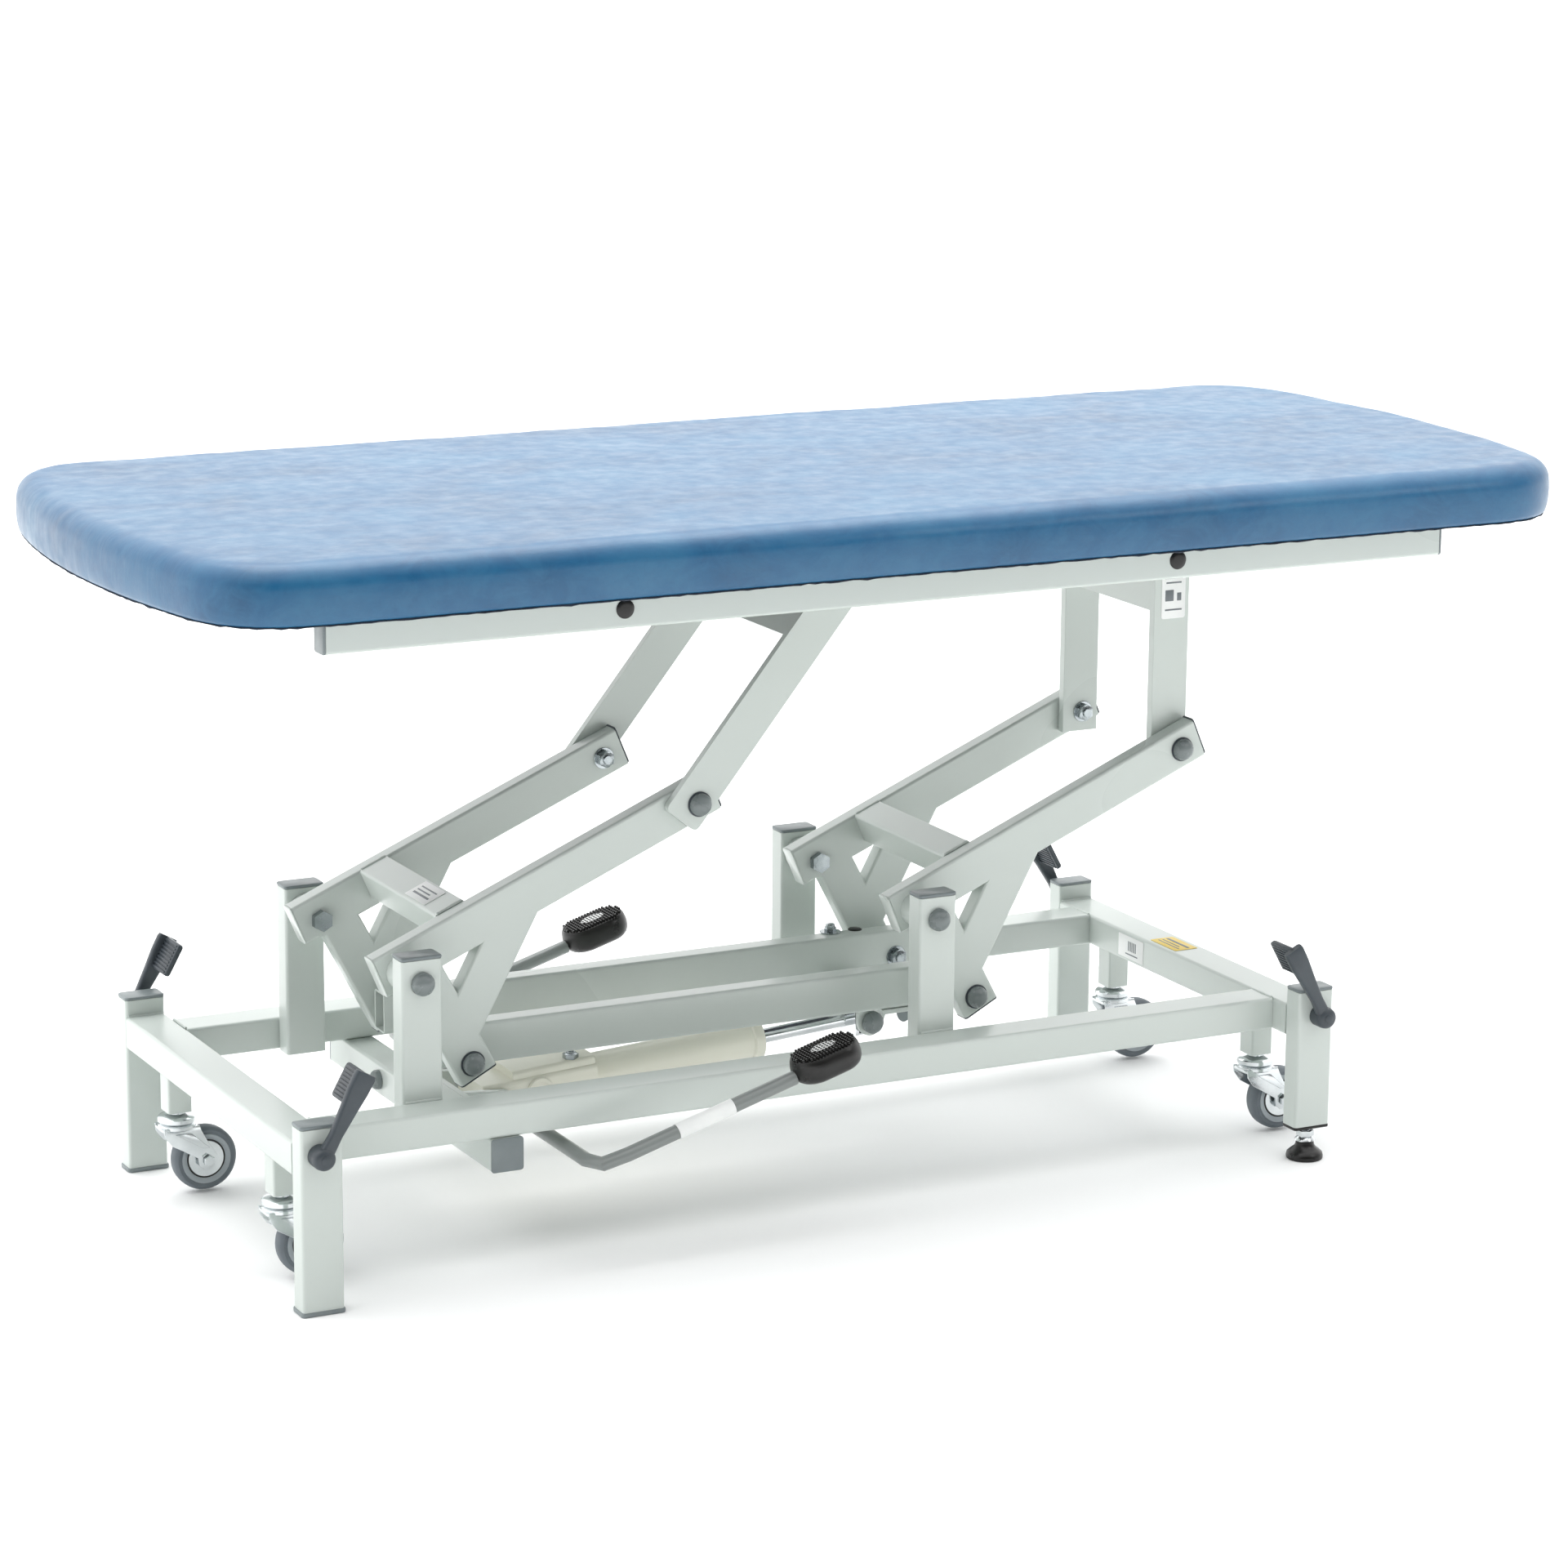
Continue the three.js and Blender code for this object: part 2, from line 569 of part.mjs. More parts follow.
// ---------------------------------------------------------------- top frame and padded top
function addTopFrame() {
  const middle = (TOP_RAIL.low + TOP_RAIL.high) / 2;
  const high = TOP_RAIL.high - TOP_RAIL.low;
  const y = (TOP_RAIL.inner + TOP_RAIL.outer) / 2;
  const deep = TOP_RAIL.outer - TOP_RAIL.inner;
  for (const { side, s } of SIDES) {
    const rail = tubeXZ([TOP_RAIL.x[0], middle], [TOP_RAIL.x[1], middle], s * y, deep, high);
    add(`top_rail_${side}`, rail, PAINT);
  }
  for (const [name, x] of [
    ["left", leftStrutAt(TOP_RAIL.low) + 14],
    ["right", POSTED.x],
  ]) {
    const reach = TOP_RAIL.inner - GAP;
    add(`top_cross_tube_${name}`, tubeY(x, middle + 1, -reach, reach, 56, 40), PAINT);
  }
}

// The x of the left struts' centre line at a height.
function leftStrutAt(z) {
  const fromPivot = z - (PIVOT_Z + ARM.toUpper[1]);
  return POST.x[0] + ARM.toUpper[0] - 9.5 + fromPivot / Math.tan(STRUT.angle);
}

// Two slanted flat struts outside the left arms, with a cross plate welded to their upper left edges.
function addLeftStruts() {
  const pivotZ = PIVOT_Z + ARM.toUpper[1];
  const pivotX = POST.x[0] + ARM.toUpper[0];
  const up = [Math.cos(STRUT.angle), Math.sin(STRUT.angle)];
  const topZ = TOP_RAIL.low + 2.7;
  const at = (z, aside) => [leftStrutAt(z) + aside / Math.sin(STRUT.angle), z];
  const half = STRUT.wide / 2;
  const strut = new THREE.Shape();
  const foot = step([leftStrutAt(pivotZ), pivotZ], up, -23);
  const across = [up[1], -up[0]];
  const round = 8;
  strut.moveTo(...step(step(foot, across, -half), up, round));
  strut.quadraticCurveTo(...step(foot, across, -half), ...step(foot, across, -half + round));
  strut.lineTo(...step(foot, across, half - round));
  strut.quadraticCurveTo(...step(foot, across, half), ...step(step(foot, across, half), up, round));
  strut.lineTo(...at(topZ, half));
  strut.lineTo(...at(topZ, -half));
  const bars = SIDES.map(({ s }) => plateXZ(strut, ...span(s, STRUT.outer - STRUT.thick, STRUT.outer)));
  const inside = -half + PLATE.thick / 2;
  const reach = 2 * (STRUT.outer - STRUT.thick) + 2;
  const plate = barXZ(at(PLATE.leftLow, inside), at(topZ - 3, inside), 0, reach, PLATE.thick, 1);
  const bore = rodY(pivotX, pivotZ, -160, 160, SMALL_BOLT_R + RUN);
  add("left_strut_frame", cut(join(...bars, plate), bore), PAINT);
}

// Two upright flat struts inside the right arms, with a cross plate between their upper left edges.
function addRightStruts() {
  const pivotZ = PIVOT_Z + ARM.toUpper[1];
  const pivotX = POST.x[1] + ARM.toUpper[0];
  const half = STRUT.wide / 2;
  const low = pivotZ - 25;
  const topZ = TOP_RAIL.low + 2.7;
  const bars = SIDES.map(({ s }) => {
    const y = s * (POSTED.inner + POSTED.thick / 2);
    return barXZ([POSTED.x, low], [POSTED.x, topZ], y, POSTED.thick, STRUT.wide, 1);
  });
  const plateX = POSTED.x - half + PLATE.thick / 2;
  const plate = barXZ([plateX, PLATE.rightLow], [plateX, topZ - 3], 0, 2 * POSTED.inner + 2, PLATE.thick, 1);
  const bore = rodY(pivotX, pivotZ, -160, 160, SMALL_BOLT_R + RUN);
  add("right_strut_frame", cut(join(...bars, plate), bore), PAINT);
}

// The top's outline: straight sides, shallow arc ends and rounded corners, all drawn in by the inset.
function topOutline(inset) {
  const endCentre = PAD.halfLong - PAD.endR;
  const cornerY = PAD.half - PAD.corner;
  const cornerX = endCentre + Math.sqrt((PAD.endR - PAD.corner) ** 2 - cornerY ** 2);
  const tangent = Math.atan2(cornerY, cornerX - endCentre);
  const arc = (x, y, radius, from, to, steps) =>
    Array.from({ length: steps + 1 }, (_, i) => {
      const turn = from + ((to - from) * i) / steps;
      return [x + radius * Math.cos(turn), y + radius * Math.sin(turn)];
    });
  const end = arc(endCentre, 0, PAD.endR - inset, 0, tangent, 6);
  const corner = arc(cornerX, cornerY, PAD.corner - inset, tangent, Math.PI / 2, 6);
  const quarter = [...end, ...corner.slice(1)];
  const left = quarter.map(([x, y]) => [-x, y]).reverse();
  const rear = [...quarter, ...left];
  const front = rear.map(([x, y]) => [x, -y]).reverse();
  const points = [...rear, ...front.slice(1, -1)];
  return new THREE.Shape(points.map(([x, y]) => new THREE.Vector2(PAD_MIDDLE + x, y)));
}

function addPaddedTop() {
  const deck = extrude(topOutline(DECK.inset), DECK.thick).translate(0, 0, DECK.low);
  add("deck_board", solid(deck), PLY);
  const { low, high, round } = PAD;
  const pad = new THREE.ExtrudeGeometry(topOutline(round), {
    depth: high - low - 2 * round,
    bevelSize: round,
    bevelThickness: round,
    bevelSegments: 2,
  });
  // The board lies in the cushion's underside.
  const pocketDeep = DECK.low + DECK.thick + GAP - low;
  const pocket = extrude(topOutline(DECK.inset - GAP), pocketDeep + 1).translate(0, 0, low - 1);
  add("cushion", cut(solid(pad.translate(0, 0, low + round)), solid(pocket)), VINYL);
}

addLegs();
addRails();
addPosts();
addArms();
addTieBeams();
addRamBracket();
addPumpBracket();
addPump();
addFootLever();
addCastors();
addLevellingFoot();
addTopFrame();
addLeftStruts();
addRightStruts();
addPaddedTop();

export default root;
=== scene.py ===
"""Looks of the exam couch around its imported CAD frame. Metres, +Z up, +X towards the levelling foot."""

import json
import math

import bmesh
import bpy
from mathutils import Matrix, Vector, noise


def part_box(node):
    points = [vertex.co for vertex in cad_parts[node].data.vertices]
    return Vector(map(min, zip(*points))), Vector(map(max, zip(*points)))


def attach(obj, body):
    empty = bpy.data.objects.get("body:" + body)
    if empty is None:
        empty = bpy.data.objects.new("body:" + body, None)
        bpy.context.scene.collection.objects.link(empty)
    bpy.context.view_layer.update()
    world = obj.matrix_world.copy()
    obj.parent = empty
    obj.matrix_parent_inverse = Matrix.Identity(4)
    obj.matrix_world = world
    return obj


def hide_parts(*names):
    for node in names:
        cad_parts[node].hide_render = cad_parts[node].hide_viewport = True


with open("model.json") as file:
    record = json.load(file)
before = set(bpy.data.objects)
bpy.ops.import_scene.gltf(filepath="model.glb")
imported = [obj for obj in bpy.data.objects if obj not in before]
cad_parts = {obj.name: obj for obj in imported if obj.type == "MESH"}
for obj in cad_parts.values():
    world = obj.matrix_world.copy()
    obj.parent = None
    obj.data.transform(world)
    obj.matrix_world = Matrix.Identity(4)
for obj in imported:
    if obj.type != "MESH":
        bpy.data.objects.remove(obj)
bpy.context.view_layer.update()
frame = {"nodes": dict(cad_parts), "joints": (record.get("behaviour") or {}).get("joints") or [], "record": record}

MM = 0.001
X, Y, Z = Vector((1, 0, 0)), Vector((0, 1, 0)), Vector((0, 0, 1))
SIDES = (("front", -1), ("rear", 1))
ENDS = (("left", -1), ("right", 1))
CORNERS = [(f"{side}_{end}", s, e) for side, s in SIDES for end, e in ENDS]

# Sockets of the colour mix node
MIX_FACTOR, MIX_ONE, MIX_TWO, MIX_RESULT = 0, 6, 7, 2


# ---------------------------------------------------------------- materials
def linear(red, green, blue):
    """A colour given in display values from 0 to 255, as the shader wants it."""

    def channel(value):
        value /= 255
        return value / 12.92 if value <= 0.04045 else ((value + 0.055) / 1.055) ** 2.4

    return channel(red), channel(green), channel(blue), 1.0


class Shader:
    """A Principled surface with object-space noise for its colour, roughness and relief."""

    def __init__(self, name, rough, metallic=0.0, coat=0.0, specular=0.5):
        self.material = bpy.data.materials.new(name)
        self.material.use_nodes = True
        self.tree = self.material.node_tree
        self.bsdf = self.tree.nodes["Principled BSDF"]
        settings = {
            "Roughness": rough,
            "Metallic": metallic,
            "Coat Weight": coat,
            "Coat Roughness": 0.12,
            "Specular IOR Level": specular,
        }
        for socket, value in settings.items():
            self.bsdf.inputs[socket].default_value = value
        self.coords = self.node("ShaderNodeTexCoord").outputs["Object"]
        self.relief = None

    def node(self, kind, **inputs):
        made = self.tree.nodes.new(kind)
        for key, value in inputs.items():
            made.inputs[key].default_value = value
        return made

    def link(self, out, socket):
        self.tree.links.new(out, socket)

    def stretched(self, scale):
        mapping = self.node("ShaderNodeMapping", Scale=scale)
        self.link(self.coords, mapping.inputs["Vector"])
        return mapping.outputs["Vector"]

    def noise(self, scale, detail=3.0, rough=0.55, stretch=None, distort=0.0):
        settings = {"Scale": scale, "Detail": detail, "Roughness": rough, "Distortion": distort}
        made = self.node("ShaderNodeTexNoise", **settings)
        self.link(self.stretched(stretch) if stretch else self.coords, made.inputs["Vector"])
        return made.outputs["Fac"]

    def cells(self, scale):
        made = self.node("ShaderNodeTexVoronoi", Scale=scale)
        made.feature = "SMOOTH_F1"
        self.link(self.coords, made.inputs["Vector"])
        return made.outputs["Distance"]

    def ramp(self, factor, stops):
        made = self.node("ShaderNodeValToRGB")
        elements = made.color_ramp.elements
        while len(elements) < len(stops):
            elements.new(0.5)
        for element, (at, colour) in zip(elements, stops):
            element.position = at
            element.color = colour
        self.link(factor, made.inputs["Fac"])
        return made.outputs["Color"]

    def spread(self, factor, low, high, start=0.3, stop=0.7):
        settings = {"From Min": start, "From Max": stop, "To Min": low, "To Max": high}
        made = self.node("ShaderNodeMapRange", **settings)
        self.link(factor, made.inputs["Value"])
        return made.outputs["Result"]

    def blend(self, factor, one, two):
        made = self.node("ShaderNodeMix")
        made.data_type = "RGBA"
        for socket, value in ((MIX_FACTOR, factor), (MIX_ONE, one), (MIX_TWO, two)):
            if isinstance(value, tuple):
                made.inputs[socket].default_value = value
            else:
                self.link(value, made.inputs[socket])
        return made.outputs[MIX_RESULT]

    def colour(self, out):
        self.link(out, self.bsdf.inputs["Base Color"])

    def rough(self, out):
        self.link(out, self.bsdf.inputs["Roughness"])

    def bump(self, height, strength, distance):
        made = self.node("ShaderNodeBump", Strength=strength, Distance=distance)
        self.link(height, made.inputs["Height"])
        if self.relief:
            self.link(self.relief, made.inputs["Normal"])
        self.relief = made.outputs["Normal"]
        self.link(self.relief, self.bsdf.inputs["Normal"])


def coated(name, light, dark, rough=(0.27, 0.31)):
    """Powder coat: a faint orange peel, slow colour change and a little dust."""
    s = Shader(name, 0.3, coat=0.2)
    slow = s.noise(1.6, 1.0)
    dust = s.noise(5.0, 1.0, 0.5)
    body = s.ramp(slow, [(0.2, dark), (0.8, light)])
    grime = tuple(c * 0.97 for c in dark[:3]) + (1.0,)
    s.colour(s.blend(s.spread(dust, 0.0, 0.25, 0.2, 0.8), body, grime))
    s.rough(s.spread(s.noise(3.0, 1.0), *rough))
    s.bump(s.noise(120.0, 1.0), 0.02, 0.0001)
    return s.material


def plated(name, light, dark, rough, relief):
    """Plated metal with slight tarnish."""
    s = Shader(name, 0.3, metallic=1.0)
    s.colour(s.ramp(s.noise(24.0, 4.0), [(0.32, dark), (0.7, light)]))
    s.rough(s.spread(s.noise(120.0, 3.0), *rough))
    s.bump(s.noise(700.0, 2.0), relief, 0.0002)
    return s.material


def moulded(name, light, dark, rough, grain=900.0, relief=0.25, specular=0.5):
    """Moulded plastic or rubber with a fine spark-eroded grain."""
    s = Shader(name, 0.5, specular=specular)
    s.colour(s.ramp(s.noise(18.0, 4.0), [(0.3, dark), (0.72, light)]))
    s.rough(s.spread(s.noise(60.0, 3.0), *rough))
    s.bump(s.noise(grain, 2.0), relief, 0.0002)
    return s.material


def vinyl_material():
    """Upholstery vinyl: mottled print, leather grain, stretch creases and a soft sheen."""
    s = Shader("blue_vinyl", 0.36, coat=0.27, specular=0.4)
    s.bsdf.inputs["Coat Roughness"].default_value = 0.3
    deep, mid, pale = linear(14, 72, 110), linear(20, 84, 124), linear(40, 100, 136)
    clouds = s.noise(5.0, 6.0, 0.62, stretch=(1.0, 1.6, 1.0), distort=0.4)
    marble = s.noise(26.0, 7.0, 0.68, stretch=(0.7, 1.3, 1.0), distort=1.2)
    fine = s.noise(110.0, 5.0, 0.7, distort=0.6)
    base = s.ramp(clouds, [(0.3, deep), (0.5, mid), (0.72, pale)])
    base = s.blend(s.spread(marble, 0.0, 0.45, 0.42, 0.62), base, pale)
    base = s.blend(s.spread(fine, 0.0, 0.2, 0.45, 0.7), base, deep)
    s.colour(base)
    s.rough(s.spread(s.noise(40.0, 4.0), 0.28, 0.44))
    s.bump(s.noise(7.0, 3.0, stretch=(0.6, 1.6, 1.0)), 0.3, 0.005)
    s.bump(s.noise(22.0, 5.0, 0.62, stretch=(0.35, 1.8, 0.5), distort=1.2), 0.16, 0.0022)
    s.bump(s.noise(60.0, 3.0, 0.55, stretch=(2.2, 2.2, 0.35), distort=0.8), 0.1, 0.0009)
    s.bump(s.cells(620.0), 0.1, 0.0003)
    return s.material


# Each surface with its lighter and darker colour and the range of its roughness
PAINT = coated("frame_paint", linear(201, 209, 204), linear(198, 206, 201))
BAR = coated("lever_grey", linear(134, 139, 137), linear(122, 128, 126), (0.3, 0.42))
CREAM = coated("pump_cream", linear(240, 240, 226), linear(232, 231, 216), (0.3, 0.45))
ZINC = plated("zinc_plate", linear(226, 230, 231), linear(204, 209, 211), (0.14, 0.24), 0.03)
BOLT = plated("bolt_zinc", linear(178, 185, 187), linear(146, 153, 156), (0.18, 0.3), 0.04)
CHROME = plated("chrome_plate", linear(232, 234, 236), linear(206, 210, 212), (0.05, 0.12), 0.02)
CAP_GREY = moulded("cap_grey", linear(128, 137, 138), linear(116, 125, 127), (0.3, 0.42), relief=0.1)
DOME_GREY = moulded("dome_grey", linear(126, 134, 134), linear(112, 120, 120), (0.22, 0.32), relief=0.05)
SLATE = moulded("slate_plastic", linear(66, 74, 80), linear(52, 59, 65), (0.34, 0.48))
BLACK = moulded("black_rubber", linear(24, 23, 22), linear(14, 14, 13), (0.26, 0.4),
                relief=0.15, specular=0.45)
TYRE = moulded("tyre_rubber", linear(112, 120, 126), linear(92, 100, 106), (0.5, 0.68))
RIM = moulded("rim_plastic", linear(168, 176, 180), linear(150, 158, 163), (0.3, 0.45), relief=0.1)
PLY = moulded("ply_board", linear(52, 56, 60), linear(38, 41, 45), (0.7, 0.85), grain=500.0)
PAPER = moulded("label_white", linear(240, 242, 240), linear(230, 232, 231), (0.35, 0.5), relief=0.05)
YELLOW = moulded("label_yellow", linear(236, 208, 92), linear(226, 196, 80), (0.35, 0.5), relief=0.05)
PRINT = moulded("label_print", linear(120, 126, 130), linear(105, 112, 116), (0.4, 0.5), relief=0.05)
HEM = moulded("hem_cloth", linear(34, 48, 66), linear(22, 32, 46), (0.8, 0.95), grain=300.0)
VINYL = vinyl_material()


# ---------------------------------------------------------------- mesh tools
def basis(origin, x_dir, y_dir):
    """A matrix whose x and y axes are those directions, at the origin given."""
    x_dir = Vector(x_dir).normalized()
    z_dir = x_dir.cross(Vector(y_dir)).normalized()
    y_dir = z_dir.cross(x_dir)
    turn = Matrix((x_dir, y_dir, z_dir)).transposed().to_4x4()
    return Matrix.Translation(origin) @ turn


def standing(origin, direction, hint):
    """A matrix whose z axis is the direction and whose x axis leans to the hint."""
    z_dir = Vector(direction).normalized()
    x_dir = (hint - z_dir * hint.dot(z_dir)).normalized()
    return basis(origin, x_dir, z_dir.cross(x_dir))


def skin(bm, rows):
    """Faces between each row of vertices and the next, all rows closed and of one count."""
    for one, two in zip(rows, rows[1:]):
        for i in range(len(one)):
            j = (i + 1) % len(one)
            bm.faces.new((one[i], one[j], two[j], two[i]))


def loft(rings, capped=True):
    """A mesh through closed rings of points that all have the same count."""
    bm = bmesh.new()
    made = [[bm.verts.new(p) for p in ring] for ring in rings]
    skin(bm, made)
    if capped:
        bm.faces.new(list(reversed(made[0])))
        bm.faces.new(made[-1])
    bmesh.ops.recalc_face_normals(bm, faces=bm.faces)
    return bm


def rounded_outline(wide, high, radius, steps=5):
    """Points of a rectangle with rounded corners, round the origin."""
    points = []
    corners = ((1, 1, 0), (-1, 1, 90), (-1, -1, 180), (1, -1, 270))
    for sx, sy, start in corners:
        for i in range(steps + 1):
            a = math.radians(start + 90 * i / steps)
            px = sx * (wide / 2 - radius) + radius * math.cos(a)
            py = sy * (high / 2 - radius) + radius * math.sin(a)
            points.append((px, py))
    return points


def block(wide, high, thick, radius, edge, steps=5):
    """A rounded rectangle in x and y that rises from z = 0 with softened upper and lower edges, in mm."""
    rings = []
    bend = edge * 0.3
    lower = [(edge, 0), (bend, bend), (0, edge)]
    for inset, level in lower + [(0, thick - edge), (bend, thick - bend), (edge, thick)]:
        outline = rounded_outline(wide - 2 * inset, high - 2 * inset, max(radius - inset, 0.3), steps)
        rings.append([Vector((px, py, level)) * MM for px, py in outline])
    return loft(rings)


def lathe(profile, segments=40):
    """A turned body from (radius, height) points in millimetres; a point on the axis closes an end."""
    bm = bmesh.new()
    rings = []
    for radius, height in profile:
        if radius <= 0:
            rings.append([bm.verts.new((0, 0, height * MM))])
            continue
        ring = []
        for i in range(segments):
            a = 2 * math.pi * i / segments
            ring.append(bm.verts.new((radius * MM * math.cos(a), radius * MM * math.sin(a), height * MM)))
        rings.append(ring)
    for one, two in zip(rings, rings[1:]):
        for i in range(segments):
            j = (i + 1) % segments
            if len(one) == 1 and len(two) > 1:
                bm.faces.new((one[0], two[i], two[j]))
            elif len(two) == 1 and len(one) > 1:
                bm.faces.new((one[i], two[0], one[j]))
            elif len(one) > 1:
                bm.faces.new((one[i], one[j], two[j], two[i]))
    bmesh.ops.recalc_face_normals(bm, faces=bm.faces)
    return bm


def plate(outline, thick, edge):
    """A flat plate drawn in x and y from z = 0 to its thickness, in millimetres, with softened rims."""
    bm = bmesh.new()
    face = bm.faces.new([bm.verts.new((px * MM, py * MM, 0)) for px, py in outline])
    grown = bmesh.ops.extrude_face_region(bm, geom=[face])
    top = [v for v in grown["geom"] if isinstance(v, bmesh.types.BMVert)]
    bmesh.ops.translate(bm, verts=top, vec=(0, 0, thick * MM))
    bmesh.ops.recalc_face_normals(bm, faces=bm.faces)
    rims = [e for e in bm.edges if abs(e.verts[0].co.z - e.verts[1].co.z) < 1e-7]
    bmesh.ops.bevel(bm, geom=rims, offset=edge * MM, segments=2, profile=0.5, affect="EDGES")
    return bm


def sweep(points, radius, sides, lump=0.0, seed=0):
    """A round bar along points in metres, its radius in millimetres; lump roughens it, as on a weld."""
    befores, afters = points[:1] + points[:-1], points[1:] + points[-1:]
    tangents = [(after - before).normalized() for before, after in zip(befores, afters)]
    side = tangents[0].orthogonal().normalized()
    rings = []
    for p, t in zip(points, tangents):
        side = (side - t * side.dot(t)).normalized()
        other = t.cross(side)
        r = radius * MM
        if lump:
            r *= 1 + lump * noise.noise(p * 190 + Vector((seed, 0, 0)))
        rings.append([p + (side * math.cos(a) + other * math.sin(a)) * r
                      for a in (2 * math.pi * k / sides for k in range(sides))])
    return loft(rings)


def together(*parts):
    """One mesh from several (mesh, matrix) pairs or plain meshes."""
    whole = bmesh.new()
    for part in parts:
        bm, matrix = part if isinstance(part, tuple) else (part, None)
        if matrix is not None:
            bmesh.ops.transform(bm, matrix=matrix, verts=bm.verts)
        mesh = bpy.data.meshes.new("part")
        bm.to_mesh(mesh)
        bm.free()
        whole.from_mesh(mesh)
        bpy.data.meshes.remove(mesh)
    return whole


def piece(name, bm, body, material, matrix=None, stands_for=(), sharp=38):
    """A named mesh object that rides on a CAD body, shaded smooth up to the sharp angle."""
    if matrix is not None:
        bmesh.ops.transform(bm, matrix=matrix, verts=bm.verts)
    mesh = bpy.data.meshes.new(name)
    bm.to_mesh(mesh)
    bm.free()
    mesh.polygons.foreach_set("use_smooth", [True] * len(mesh.polygons))
    mesh.set_sharp_from_angle(angle=math.radians(sharp))
    mesh.materials.append(material)
    made = bpy.data.objects.new(name, mesh)
    bpy.context.scene.collection.objects.link(made)
    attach(made, body)
    if stands_for:
        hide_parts(*stands_for)
    return made


def along(points, steps):
    """Points spaced along a polyline with its corners kept."""
    made = []
    for one, two in zip(points, points[1:]):
        made += [one.lerp(two, i / steps) for i in range(steps)]
    return made + [points[-1]]


# ---------------------------------------------------------------- CAD nodes that stay
LOOKS = {
    "frame_paint": PAINT,
    "zinc": BOLT,
    "chrome": CHROME,
    "slate_paint": SLATE,
    "black_rubber": BLACK,
    "tyre": TYRE,
    "lever_grey": BAR,
    "pump_cream": CREAM,
    "vinyl": VINYL,
    "plywood": PLY,
}


def dress_frame():
    slots = {row["node"]: row["material_slot"] for row in frame["record"]["subparts"]}
    for name, node in frame["nodes"].items():
        node.data.materials.clear()
        node.data.materials.append(LOOKS[slots[name]])
        if "custom_normal" in node.data.attributes:
            node.data.attributes.remove(node.data.attributes["custom_normal"])
        node.data.polygons.foreach_set("use_smooth", [True] * len(node.data.polygons))
        weld = node.modifiers.new("weld", "WELD")
        weld.merge_threshold = 1e-5
        split = node.modifiers.new("split", "EDGE_SPLIT")
        split.split_angle = math.radians(50)
        weighted = node.modifiers.new("weighted", "WEIGHTED_NORMAL")
        weighted.keep_sharp = True


dress_frame()


# ---------------------------------------------------------------- places on the frame
JOINTS = {joint["name"]: joint for joint in frame["joints"]}


def pivot_of(joint):
    return Vector(JOINTS[joint]["pos_m"])


STEP = pivot_of("right_arms_swing") - pivot_of("lift")
CRANK = pivot_of("beams_level")
UPPER = pivot_of("top_level")
TUBE_DEEP = 25 * MM  # an arm tube across the couch
ARM_LEAN = 23.3  # degrees above level, as the couch stands
CRANK_LEAN = -62.1
PEDAL_LEAN = 16.7


def leaning(degrees):
    """The direction that rises at that angle along the couch, and the one square to it."""
    a = math.radians(degrees)
    return Vector((math.cos(a), 0, math.sin(a))), Vector((-math.sin(a), 0, math.cos(a)))


def spot(node):
    """(lowest corner, highest corner, middle) of a CAD node as vectors."""
    low, high = (Vector(corner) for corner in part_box(node))
    return low, high, (low + high) / 2


def outer_y(node, s):
    """The y of a node's face on that side of the couch, -1 for the front."""
    low, high, _ = spot(node)
    return high.y if s > 0 else low.y


def moved(x, y, z):
    return Matrix.Translation((x, y, z))


def facing(origin, direction):
    """A matrix with z out of a face, x along the couch where that is possible."""
    return standing(origin, direction, X if abs(Vector(direction).x) < 0.9 else Y)


def hexagon(across, high, edge=0.8):
    """A hexagonal nut or bolt head, flats that far apart, with a turned crown."""
    radius = across / math.sqrt(3)
    rings = []
    for scale, level in ((0.96, 0), (1.0, 0.5), (1.0, high - edge), (0.86, high)):
        angles = [math.radians(60 * k + 30) for k in range(6)]
        ring = [(math.cos(a) * radius * scale, math.sin(a) * radius * scale, level) for a in angles]
        rings.append([Vector(point) * MM for point in ring])
    return loft(rings)


def dome(radius, high, skirt):
    """A pressed cap: a short upright skirt under a round crown."""
    profile = [(0, 0), (radius - 0.8, 0), (radius, 0.6), (radius, skirt)]
    steps = 7
    for k in range(1, steps + 1):
        a = math.pi / 2 * k / steps
        profile.append((radius * math.cos(a) if k < steps else 0, skirt + (high - skirt) * math.sin(a)))
    return lathe(profile, 36)


def washer(radius, high, bore):
    rim = radius - 0.4
    return lathe([(bore, 0), (rim, 0), (radius, 0.4), (radius, high - 0.4), (rim, high), (bore, high)], 36)


# ---------------------------------------------------------------- caps, covers and bolts
RAIL_PLUG = [(0, 0), (11, 0), (11, 0.8), (9.8, 1.8), (6, 2.3), (0, 2.4)]
RAIL_PLUGS = (("near", 0.246), ("far", 0.743))  # shares of a top rail's length
NUT_END = [(0, 0), (6, 0), (6, 2.4), (5.2, 3.4), (0, 3.6)]


def add_leg_and_post_caps():
    for name, _, _ in CORNERS:
        low, high, mid = spot(f"leg_{name}")
        wide, deep = (high.x - low.x) / MM, (high.y - low.y) / MM
        piece(f"leg_cap_{name}", block(wide + 0.6, deep + 0.6, 4.2, 4.5, 1.6), "base", CAP_GREY,
              matrix=moved(mid.x, mid.y, high.z))
        if low.z < 0.01:
            piece(f"leg_shoe_{name}", block(wide + 3, deep + 3, 5.5, 5, 1.2), "base", CAP_GREY,
                  matrix=moved(mid.x, mid.y, low.z))
        else:
            piece(f"leg_plug_{name}", block(wide + 0.4, deep + 0.4, 4, 4, 1.0), "base", BLACK,
                  matrix=moved(mid.x, mid.y, low.z - 4 * MM))
        low, high, mid = spot(f"post_{name}")
        piece(f"post_cap_{name}", block(wide + 1.2, deep + 1.2, 4.5, 4.5, 1.8), "base", CAP_GREY,
              matrix=moved(mid.x, mid.y, high.z))


